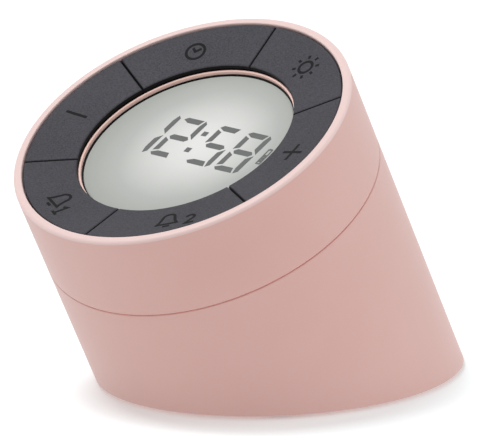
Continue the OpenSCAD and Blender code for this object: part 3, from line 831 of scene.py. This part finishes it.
def display_polygons():
    """The lit bars of the time, the colon and the battery mark."""
    bars = segment_bars()
    mid = DIGIT_H / 2
    polygons = []
    for figure, left in DIGITS:
        for bar in LIT[figure]:
            polygons.append([(left + x + (y - mid) * DIGIT_SLANT, y + DIGIT_BASE) for x, y in bars[bar]])
    half = COLON_SIZE / 2
    dot = ((-half, -half), (half, -half), (half, half), (-half, half))
    for spot in COLON_SPOTS:
        polygons += moved([dot], spot)
    return moved(polygons + battery_mark(), (0.0, 0.0), FIGURES_TURN)


def battery_mark():
    """Outlined cell, standing on end, near the edge of the display."""
    left, right, foot, top = BATTERY_MARK
    nub = (right - left) / 4
    outline = [
        (left, foot),
        (right, foot),
        (right, top),
        (right - nub, top),
        (right - nub, top + nub),
        (left + nub, top + nub),
        (left + nub, top),
        (left, top),
    ]
    levels = [foot + BATTERY_STEP * (number + 1) for number in range(BATTERY_LEVELS)]
    bars = [stroke([(left + nub, level), (right - nub, level)], 2 * BATTERY_LINE)[0] for level in levels]
    return stroke(outline, BATTERY_LINE, closed=True) + bars


# Shader building blocks

SCREEN_TOP = 255
DARK_END = 0.04045
DARK_SLOPE = 12.92
CURVE_LIFT = 0.055
CURVE_POWER = 2.4
WHITE = (1.0, 1.0, 1.0, 1.0)
TONE_START = 0.3
TONE_END = 0.7
CLOUD_SIZE = 26.0
FINE_DETAIL = 3.0
COARSE_GRAIN = 4
GLOSS_SPREAD = 0.05
ROLLING_RELIEF = 0.4
GRAIN_RELIEF = 0.6


def linear(level):
    """Screen level of one colour channel, in the linear form that shaders take."""
    share = level / SCREEN_TOP
    if share <= DARK_END:
        return share / DARK_SLOPE
    return ((share + CURVE_LIFT) / (1 + CURVE_LIFT)) ** CURVE_POWER


def screen(red, green, blue):
    """Colour as seen on screen, 0 to 255, made linear."""
    return (linear(red), linear(green), linear(blue), 1.0)


def main_shader(material):
    """The shader that a finish is built on."""
    return material.node_tree.nodes["Principled BSDF"]


def new_finish(name):
    """Starts a finish: the material, its tree and its main shader."""
    material = bpy.data.materials.new(name)
    material.use_nodes = True
    return material, material.node_tree, main_shader(material)


def place_on_object(tree):
    """Object coordinates, in metres."""
    return add_node(tree, "ShaderNodeTexCoord").outputs["Object"]


def place_on_face(tree):
    """Face coordinates, in metres."""
    item = add_node(
        tree,
        "ShaderNodeMapping",
        {"Vector": place_on_object(tree), "Location": AXIS_FOOT, "Rotation": (LEAN, 0.0, 0.0)},
        vector_type="TEXTURE",
    )
    return item.outputs[0]


def noise(tree, place, size, detail=2.0):
    """Cloudy pattern whose patches are about this many millimetres wide."""
    inputs = {"Vector": place, "Scale": 1 / (size * MM), "Detail": detail}
    return add_node(tree, "ShaderNodeTexNoise", inputs).outputs["Fac"]


def ramp(tree, value, *stops):
    """Colour that runs through stops of (share, colour)."""
    item = add_node(tree, "ShaderNodeValToRGB", {0: value})
    elements = item.color_ramp.elements
    for share, _ in stops[len(elements):]:
        elements.new(share)
    for element, (share, colour) in zip(elements, stops):
        element.position = share
        element.color = colour
    return item.outputs["Color"]


def two_tones(tree, pattern, dark, light):
    """Colour that runs from dark to light over the middle of a pattern's range."""
    return ramp(tree, pattern, (TONE_START, dark), (TONE_END, light))


def spread(tree, value, low, high):
    """Stretches a value from 0 to 1 over another range."""
    item = add_node(tree, "ShaderNodeMapRange", {"Value": value, "To Min": low, "To Max": high})
    return item.outputs["Result"]


def blend_value(tree, share, first, second):
    """Mixes two numbers, which are inputs 2 and 3 of a Mix node."""
    return add_node(tree, "ShaderNodeMix", {0: share, 2: first, 3: second}).outputs[0]


def blend_colour(tree, share, first, second):
    """Mixes two colours, which are inputs 6 and 7 and output 2 of a Mix node."""
    item = add_node(tree, "ShaderNodeMix", {0: share, 6: first, 7: second}, data_type="RGBA")
    return item.outputs[2]


def relief(tree, height, depth, strength, under=None):
    """Surface relief, depth in millimetres, over another relief where there is one."""
    inputs = {"Height": height, "Distance": depth * MM, "Strength": strength}
    if under is not None:
        inputs["Normal"] = under
    return add_node(tree, "ShaderNodeBump", inputs).outputs["Normal"]


def set_surface(material, colour, roughness, normal):
    """Plugs in what every finish has."""
    shader = main_shader(material)
    for socket, value in (("Base Color", colour), ("Roughness", roughness), ("Normal", normal)):
        plug(material.node_tree, shader.inputs[socket], value)


def moulded_finish(name, dark, light, grain, roughness, depth, speckle=0.4, **constants):
    """Moulded plastic or rubber: faint clouds, a fine spark-eroded grain and uneven gloss.

    Grain and depth are the grain's width and height in millimetres, and speckle is its share in the
    colour. Any other constants are for the shader's own sockets.
    """
    material, tree, shader = new_finish(name)
    place = place_on_object(tree)
    clouds = noise(tree, place, CLOUD_SIZE)
    fine = noise(tree, place, grain, FINE_DETAIL)
    coarse = noise(tree, place, grain * COARSE_GRAIN)
    tone = blend_value(tree, speckle, clouds, fine)
    rolling = relief(tree, coarse, depth, ROLLING_RELIEF)
    set_surface(
        material,
        two_tones(tree, tone, dark, light),
        spread(tree, coarse, roughness - GLOSS_SPREAD, roughness + GLOSS_SPREAD),
        relief(tree, fine, depth, GRAIN_RELIEF, rolling),
    )
    for socket, value in constants.items():
        shader.inputs[socket.replace("_", " ")].default_value = value
    return material


def painted_over(material, share, colour):
    """Lays a second colour over a finish where a share is 1."""
    tree = material.node_tree
    socket = main_shader(material).inputs["Base Color"]
    plug(tree, socket, blend_colour(tree, share, socket.links[0].from_socket, colour))


# Finishes of this clock

# Painted highlight: the rim's paler pink stands in for the gloss of the light on it.
RIM_PAINTED_HIGHLIGHT = screen(208, 182, 178)
# Painted light: the paler, redder pink in the seam groove stands in for light bounced into it.
GROOVE_PAINTED_LIGHT = screen(228, 178, 168)
# Painted light: the paler pink on the collar round the display stands in for the light on it.
COLLAR_PAINTED_LIGHT = screen(234, 195, 184)
# Painted shade: the near black on the keys below their dished tops stands in for the shade in the gaps
# and on the inner walls.
KEY_SIDE_PAINTED_SHADE = screen(12, 12, 13)
# Painted glow of the display film: brighter in the middle, darker toward the edges.
PAINTED_GLOW_STOPS = (
    (0.18, screen(154, 157, 152)),
    (0.36, screen(162, 164, 161)),
    (0.58, screen(185, 186, 183)),
    (0.75, screen(197, 197, 195)),
    (0.95, screen(204, 204, 202)),
)
GLOW_CLOUDS = 9.0
GLOW_UNEVEN = 0.04
FILM_GRAIN = 0.12
DRAWN_STRETCH = (1.0, 0.08, 1.0)
DRAWN_LINE = 0.25
STEEL_CLOUDS = 3.0
LAYER_WAVE = 1.6
LAYER_WAVER = 0.2
LAYER_STOPS = ((0.4, screen(28, 28, 29)), (0.6, screen(96, 95, 94)))
LAYER_GRAIN = 0.2
TRACK_CELL = 3.2
TRACK_SHARE = 0.32
TRACK_GREEN = screen(38, 112, 68)
BOARD_WEAVE = 0.5
SLEEVE_GRAIN = 0.4
GOLD_METAL = 0.6


def pink_shell_finish():
    """Soft pink lacquer on the shells, with painted light: the rim is painted paler as a painted
    highlight, the collar paler as painted light on it, and the seam groove paler and redder as painted
    light bounced into it.
    """
    material = moulded_finish(
        "pink soft-touch lacquer",
        dark=screen(199, 155, 147),
        light=screen(204, 162, 155),
        grain=0.22,
        roughness=0.5,
        depth=0.006,
        Sheen_Weight=0.3,
        Sheen_Roughness=0.6,
        Sheen_Tint=screen(255, 240, 238),
    )
    tree = material.node_tree
    face = place_on_face(tree)
    radius = axis_distance(tree, face)
    height = add_node(tree, "ShaderNodeSeparateXYZ", {0: face}).outputs["Z"]
    # Painted highlight: the rim is painted paler.
    rim_highlight_share = calc(tree, "GREATER_THAN", height, height_at(RIM_ROUND) * MM)
    painted_over(material, rim_highlight_share, RIM_PAINTED_HIGHLIGHT)
    # Painted light: the seam groove is painted paler and redder.
    at_seam = calc(tree, "COMPARE", height, height_at(SEAM_DEPTH) * MM, SEAM_GAP * MM)
    below_skin = calc(tree, "LESS_THAN", radius, (BODY_R - SEAM_ROUND / 2) * MM)
    painted_over(material, calc(tree, "MULTIPLY", at_seam, below_skin), GROOVE_PAINTED_LIGHT)
    # Painted light: the collar is painted paler.
    collar_light_share = calc(tree, "LESS_THAN", radius, (COLLAR_R + COLLAR_ROUND) * MM)
    painted_over(material, collar_light_share, COLLAR_PAINTED_LIGHT)
    return material


def pink_base_finish():
    """Bare pink plastic of the base."""
    return moulded_finish(
        "pink base plastic",
        dark=screen(200, 160, 153),
        light=screen(209, 170, 163),
        grain=0.35,
        roughness=0.58,
        depth=0.015,
    )


def key_finish():
    """Dark grey keys with a matte, grainy lacquer on their dished tops; below the tops they are painted
    near black, as painted shade in the gaps between keys and on their inner walls.
    """
    material = moulded_finish(
        "dark grey key lacquer",
        dark=screen(46, 45, 50),
        light=screen(70, 69, 75),
        grain=0.4,
        roughness=0.6,
        depth=0.015,
        speckle=0.8,
        Specular_IOR_Level=0.15,
    )
    tree = material.node_tree
    face = place_on_face(tree)
    height = add_node(tree, "ShaderNodeSeparateXYZ", {0: face}).outputs["Z"]
    climb = calc(tree, "MULTIPLY", axis_distance(tree, face), KEY_RISE)
    below_top = calc(tree, "SUBTRACT", calc(tree, "ADD", climb, key_top(0.0) * MM), height)
    # Painted shade: below the dished top the key is painted near black.
    painted_over(material, calc(tree, "GREATER_THAN", below_top, KEY_PAINTED_SHADE_DEPTH * MM), KEY_SIDE_PAINTED_SHADE)
    return material


def ink_finish():
    """Black print on the keys."""
    return moulded_finish(
        "black key print",
        dark=screen(12, 12, 14),
        light=screen(20, 20, 22),
        grain=0.2,
        roughness=0.6,
        depth=0.004,
        Specular_IOR_Level=0.1,
    )


def black_frame_finish():
    """Black plastic of the display frame."""
    return moulded_finish(
        "black frame plastic",
        dark=screen(8, 8, 9),
        light=screen(18, 18, 19),
        grain=0.3,
        roughness=0.6,
        depth=0.01,
        Specular_IOR_Level=0.15,
    )


def foot_finish():
    """Dark rubber feet."""
    return moulded_finish(
        "foot rubber",
        dark=screen(38, 37, 37),
        light=screen(52, 51, 50),
        grain=0.25,
        roughness=0.8,
        depth=0.02,
    )


def display_finish():
    """Grey-green film of the display with a painted glow: colour brighter in the middle and darker
    toward the edges stands in for light and shade on the film.
    """
    material, tree, shader = new_finish("display film with painted glow")
    centre = AXIS_FOOT + Matrix.Rotation(LEAN, 3, "X") @ Vector((*PAINTED_GLOW_AT, height_at(LCD_DEPTH))) * MM
    place = place_on_object(tree)
    face = add_node(
        tree,
        "ShaderNodeMapping",
        {"Vector": place, "Location": centre, "Rotation": (LEAN, 0.0, 0.0), "Scale": (PAINTED_GLOW_R * MM,) * 3},
        vector_type="TEXTURE",
    )
    # Painted glow: a round pool of light on the film, brightest at its middle and darker toward the
    # edges.
    painted_glow = add_node(
        tree,
        "ShaderNodeTexGradient",
        {"Vector": face.outputs[0]},
        gradient_type="SPHERICAL",
    )
    clouds = noise(tree, place, GLOW_CLOUDS)
    level = calc(tree, "ADD", painted_glow.outputs["Fac"], spread(tree, clouds, -GLOW_UNEVEN, GLOW_UNEVEN))
    grain = noise(tree, place, FILM_GRAIN)
    set_surface(
        material,
        colour=ramp(tree, level, *PAINTED_GLOW_STOPS),
        roughness=spread(tree, grain, low=0.55, high=0.65),
        normal=relief(tree, grain, depth=0.003, strength=0.5),
    )
    shader.inputs["Specular IOR Level"].default_value = 0.3
    return material


def display_bar_finish():
    """Grey of the switched-on bars."""
    return moulded_finish(
        "display bars",
        dark=screen(86, 88, 87),
        light=screen(94, 96, 95),
        grain=0.15,
        roughness=0.6,
        depth=0.002,
        Specular_IOR_Level=0.3,
    )


def steel_finish():
    """Plated steel with fine drawn lines."""
    material, tree, shader = new_finish("plated steel")
    place = place_on_object(tree)
    drawn = add_node(tree, "ShaderNodeMapping", {"Vector": place, "Scale": DRAWN_STRETCH})
    lines = noise(tree, drawn.outputs[0], DRAWN_LINE, FINE_DETAIL)
    clouds = noise(tree, place, STEEL_CLOUDS)
    set_surface(
        material,
        colour=two_tones(tree, clouds, dark=screen(186, 186, 188), light=screen(206, 206, 207)),
        roughness=spread(tree, lines, low=0.22, high=0.4),
        normal=relief(tree, lines, depth=0.004, strength=0.5),
    )
    shader.inputs["Metallic"].default_value = 1.0
    return material


def clear_finish():
    """Milky light guide."""
    return moulded_finish(
        "milky acrylic",
        dark=screen(222, 228, 228),
        light=screen(236, 240, 240),
        grain=0.4,
        roughness=0.3,
        depth=0.004,
    )


def white_finish():
    """White sheet and connector plastic."""
    return moulded_finish(
        "white plastic",
        dark=screen(224, 222, 214),
        light=screen(238, 236, 230),
        grain=0.3,
        roughness=0.5,
        depth=0.008,
    )


def led_finish():
    """Pale lens of a small lamp."""
    return moulded_finish(
        "lamp lens",
        dark=screen(228, 216, 168),
        light=screen(243, 234, 196),
        grain=0.2,
        roughness=0.25,
        depth=0.003,
    )


def zebra_finish():
    """Contact strip with fine black and grey layers."""
    material, tree, _ = new_finish("layered contact rubber")
    place = place_on_object(tree)
    layers = add_node(
        tree,
        "ShaderNodeTexWave",
        {"Vector": place, "Scale": 1 / (LAYER_WAVE * MM), "Distortion": LAYER_WAVER},
        bands_direction="X",
    )
    fine = noise(tree, place, LAYER_GRAIN)
    set_surface(
        material,
        colour=ramp(tree, layers.outputs["Fac"], *LAYER_STOPS),
        roughness=spread(tree, fine, low=0.6, high=0.75),
        normal=relief(tree, fine, depth=0.01, strength=0.5),
    )
    return material


def board_finish():
    """Green solder mask over faint copper tracks."""
    material, tree, _ = new_finish("circuit board")
    place = place_on_object(tree)
    tracks = add_node(
        tree,
        "ShaderNodeTexVoronoi",
        {"Vector": place, "Scale": 1 / (TRACK_CELL * MM)},
        distance="MANHATTAN",
    )
    weave = noise(tree, place, BOARD_WEAVE)
    on_track = calc(tree, "LESS_THAN", tracks.outputs["Distance"], TRACK_SHARE)
    mask = two_tones(tree, weave, dark=screen(16, 74, 44), light=screen(22, 88, 54))
    set_surface(
        material,
        colour=blend_colour(tree, on_track, mask, TRACK_GREEN),
        roughness=spread(tree, weave, low=0.3, high=0.42),
        normal=relief(tree, calc(tree, "ADD", on_track, weave), depth=0.02, strength=0.4),
    )
    return material


def cell_finish():
    """Battery sleeve: dark with a pale gold band toward the nub, bare metal at the ends."""
    material, tree, shader = new_finish("battery sleeve")
    place = place_on_object(tree)
    spot = add_node(tree, "ShaderNodeSeparateXYZ", {0: place})
    from_middle = calc(tree, "ABSOLUTE", calc(tree, "SUBTRACT", spot.outputs["Y"], BASE_MID_Y * MM))
    middle_cell = calc(tree, "LESS_THAN", from_middle, CELL_PITCH / 2 * MM)
    # The middle cell lies the other way round
    facing = calc(tree, "SUBTRACT", 1.0, calc(tree, "MULTIPLY", middle_cell, 2.0))
    along = calc(tree, "MULTIPLY", spot.outputs["X"], facing)
    band = calc(tree, "GREATER_THAN", along, CELL_BAND_X * MM)
    bare = calc(tree, "GREATER_THAN", calc(tree, "ABSOLUTE", along), CELL_END_X * MM)
    fine = noise(tree, place, SLEEVE_GRAIN)
    black = two_tones(tree, fine, dark=screen(34, 35, 38), light=screen(44, 45, 48))
    gold = two_tones(tree, fine, dark=screen(190, 152, 92), light=screen(202, 166, 106))
    metal = two_tones(tree, fine, dark=screen(184, 184, 186), light=screen(204, 204, 206))
    set_surface(
        material,
        colour=blend_colour(tree, bare, blend_colour(tree, band, black, gold), metal),
        roughness=spread(tree, fine, low=0.28, high=0.38),
        normal=relief(tree, fine, depth=0.004, strength=0.4),
    )
    gilded = calc(tree, "MULTIPLY", band, GOLD_METAL)
    plug(tree, shader.inputs["Metallic"], calc(tree, "MAXIMUM", bare, gilded))
    return material


def lead_finish():
    """Insulated leads."""
    return moulded_finish(
        "lead insulation",
        dark=screen(26, 26, 28),
        light=screen(40, 40, 42),
        grain=0.3,
        roughness=0.45,
        depth=0.01,
    )


# Making the pieces


def add_piece(name, mesh, body, stands_for=()):
    """Adds a finished mesh as a piece that moves with a body."""
    piece = bpy.data.objects.new(name, mesh)
    mesh.name = name
    scene.collection.objects.link(piece)
    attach(piece, body)
    if stands_for:
        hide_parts(*stands_for)


def dress(finish, *nodes):
    """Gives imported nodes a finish."""
    for name in nodes:
        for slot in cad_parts[name].material_slots:
            slot.material = finish


def on_body(finish):
    """Values that lean a shape onto the body and give it a finish."""
    return {"lean": LEAN, "foot": AXIS_FOOT, "finish": finish}


def make_shells(finish):
    """The two pink shells; returns the tree that turns them, for the feet."""
    turned = turned_tree()
    shells = (
        ("upper_shell", "upper_housing", upper_shell_profile()),
        ("lower_shell", "lower_housing", lower_shell_profile()),
    )
    for name, node, profile in shells:
        mesh = run_tree(
            turned,
            profile_mesh(steadied(profile)),
            steps=TURN_STEPS,
            cut_height=BASE_LIFT * MM,
            **on_body(finish),
        )
        add_piece(name, mesh, "clock_body", [node])
    return turned


def make_feet(turned, finish):
    """Four rubber feet."""
    foot = run_tree(turned, profile_mesh(foot_profile()), steps=SMALL_TURN_STEPS, finish=finish)
    feet = run_tree(
        corners_tree(),
        foot,
        width=2 * FOOT_X * MM,
        length=2 * FOOT_DY * MM,
        foot=Vector((0.0, BASE_MID_Y * MM, 0.0)),
        finish=finish,
    )
    add_piece("foot_pads", feet, "clock_body", ["rubber_feet"])


def key_marks():
    """The printed mark of each key, in face coordinates."""
    icons = {
        "plus": plus_icon(),
        "light": sun_icon(rays_tree()),
        "clock": clock_icon(),
        "minus": minus_icon(),
        "alarm_one": bell_icon(),
        "alarm_two": bell_icon(),
    }
    numbers = {"alarm_one": number_one(), "alarm_two": number_two()}
    marks = {name: moved(icons[name], spot, turn) for name, (_, spot, turn) in KEY_SPOTS.items()}
    for name, (spot, turn) in NUMBER_SPOTS.items():
        marks[name] += moved(numbers[name], spot, turn)
    return marks


def make_keys(finish, ink):
    """Six keys with their printed marks; returns the tree that prints them, for the display."""
    in_ring = ring_place_tree()
    printed = printed_tree()
    dish_foot = (key_top(0.0) - PRINT_SINK) * MM
    for name, marks in key_marks().items():
        angle = KEY_SPOTS[name][0]
        body = name + "_key"
        mesh = run_tree(in_ring, key_mesh(), angle=math.radians(angle), **on_body(finish))
        add_piece("key_cap_" + name, mesh, body, ["key_" + name])
        mark = run_tree(
            printed,
            flat_mesh(marks),
            thickness=PRINT_T * MM,
            height=dish_foot,
            rise=KEY_RISE,
            **on_body(ink),
        )
        add_piece("key_mark_" + name, mark, body)
    return printed


def make_display(printed, finish):
    """The lit bars on the display."""
    mesh = run_tree(
        printed,
        flat_mesh(display_polygons()),
        thickness=PRINT_T * MM,
        height=(height_at(LCD_DEPTH) - PRINT_SINK) * MM,
        rise=0.0,
        **on_body(finish),
    )
    add_piece("display_bars", mesh, "clock_body")


def dress_nodes():
    """Finishes of the nodes that are shown as packed."""
    base = pink_base_finish()
    black = black_frame_finish()
    steel = steel_finish()
    white = white_finish()
    dress(base, "base_cover", "battery_door")
    dress(black, "display_frame", "controller_chip", "buzzer")
    dress(black, *("plunger_" + name for name in KEY_SPOTS))
    dress(display_finish(), "lcd_panel")
    dress(clear_finish(), "light_guide")
    dress(white, "reflector_sheet", "lead_connector")
    dress(led_finish(), "backlight_leds")
    dress(zebra_finish(), "zebra_strips")
    dress(board_finish(), "main_board")
    dress(steel, "crystal", "switch_bodies", "battery_contacts")
    dress(steel, "board_screws", "housing_screws", "base_screws")
    dress(cell_finish(), "batteries")
    dress(lead_finish(), "battery_leads")


# Floor, light and camera; the floor, the lamps and the camera's clip are in metres

CAMERA_TURN = math.radians(40.42)
CAMERA_RISE = math.radians(13.44)
CAMERA_ROLL = math.radians(-0.75)
CAMERA_FAR = 1500.0
CAMERA_LENS = 486.0
CAMERA_SENSOR = 36.0
CAMERA_CLIP = 20.0
CAMERA_AIM_HEIGHT = 40.0
CAMERA_AIM_RIGHT = -8.51
CAMERA_AIM_UP = -4.43
FLOOR_HALF = 3.0
FLOOR_PARTS = 8
SEEN_FLOOR = (0.82, 0.885, 0.895, 1.0)
SEEN_FLOOR_LIFT = 0.21
BOUNCE_FLOOR = (0.25, 0.25, 0.25, 1.0)
BOUNCE_FLOOR_LIFT = 0.75
SKY_LEVEL = 0.66
LAMP_AIM = (0.0, 0.0, 0.04)
LAMPS = {
    "top lamp": {"place": (-0.12, -0.31, 0.9), "size": 0.24, "power": 5.5},
    "side lamp": {"place": (0.85, 0.58, 0.15), "size": 0.8, "power": 3.8},
}


def seen_directly(tree):
    """1 for rays from the camera, from gloss and through glass."""
    path = add_node(tree, "ShaderNodeLightPath")
    mirrored = calc(tree, "MAXIMUM", path.outputs["Is Glossy Ray"], path.outputs["Is Transmission Ray"])
    return calc(tree, "MAXIMUM", path.outputs["Is Camera Ray"], mirrored)


def make_floor():
    """Plain pale floor that shows the clock's shadow, and lights the clock evenly from below."""
    shape = bmesh.new()
    bmesh.ops.create_grid(shape, x_segments=FLOOR_PARTS, y_segments=FLOOR_PARTS, size=FLOOR_HALF)
    mesh = bpy.data.meshes.new("floor")
    shape.to_mesh(mesh)
    shape.free()
    material, tree, shader = new_finish("pale floor")
    seen = seen_directly(tree)
    lift = spread(tree, seen, BOUNCE_FLOOR_LIFT, SEEN_FLOOR_LIFT)
    plug(tree, shader.inputs["Base Color"], blend_colour(tree, seen, BOUNCE_FLOOR, SEEN_FLOOR))
    plug(tree, shader.inputs["Emission Strength"], lift)
    shader.inputs["Roughness"].default_value = 1.0
    shader.inputs["Specular IOR Level"].default_value = 0.0
    shader.inputs["Emission Color"].default_value = WHITE
    mesh.materials.append(material)
    floor = bpy.data.objects.new("floor", mesh)
    scene.collection.objects.link(floor)


def make_sky():
    """Even white surroundings, weaker as a light than they look."""
    world = bpy.data.worlds.new("studio")
    world.use_nodes = True
    scene.world = world
    tree = world.node_tree
    background = tree.nodes["Background"]
    background.inputs["Color"].default_value = WHITE
    plug(tree, background.inputs["Strength"], spread(tree, seen_directly(tree), SKY_LEVEL, 1.0))


def add_lamp(name, place, size, power):
    """Soft square lamp that looks at the clock."""
    lamp = bpy.data.lights.new(name, "AREA")
    lamp.shape = "SQUARE"
    lamp.size = size
    lamp.energy = power
    box = bpy.data.objects.new(name, lamp)
    box.location = place
    box.rotation_euler = (Vector(LAMP_AIM) - Vector(place)).to_track_quat("-Z", "Y").to_euler()
    scene.collection.objects.link(box)


def make_camera():
    """Camera at the photograph's viewing angle."""
    toward = Vector(
        (
            math.sin(CAMERA_TURN) * math.cos(CAMERA_RISE),
            -math.cos(CAMERA_TURN) * math.cos(CAMERA_RISE),
            math.sin(CAMERA_RISE),
        )
    )
    right = Vector((math.cos(CAMERA_TURN), math.sin(CAMERA_TURN), 0.0))
    up = toward.cross(right)
    aim = Vector((0.0, AXIS_FOOT_Y, CAMERA_AIM_HEIGHT)) + right * CAMERA_AIM_RIGHT + up * CAMERA_AIM_UP
    rolled_right = right * math.cos(CAMERA_ROLL) + up * math.sin(CAMERA_ROLL)
    rolled_up = up * math.cos(CAMERA_ROLL) - right * math.sin(CAMERA_ROLL)
    lens = bpy.data.cameras.new("camera")
    lens.sensor_fit = "HORIZONTAL"
    lens.sensor_width = CAMERA_SENSOR
    lens.lens = CAMERA_LENS
    lens.clip_end = CAMERA_CLIP
    camera = bpy.data.objects.new("camera", lens)
    stand = Matrix((rolled_right, rolled_up, toward)).transposed().to_4x4()
    stand.translation = (aim + toward * CAMERA_FAR) * MM
    camera.matrix_world = stand
    scene.collection.objects.link(camera)
    scene.camera = camera


scene.view_settings.view_transform = "Standard"
make_camera()
turned = make_shells(pink_shell_finish())
make_feet(turned, foot_finish())
printed = make_keys(key_finish(), ink_finish())
make_display(printed, display_bar_finish())
dress_nodes()
make_floor()
make_sky()
for lamp_name, lamp_values in LAMPS.items():
    add_lamp(lamp_name, **lamp_values)
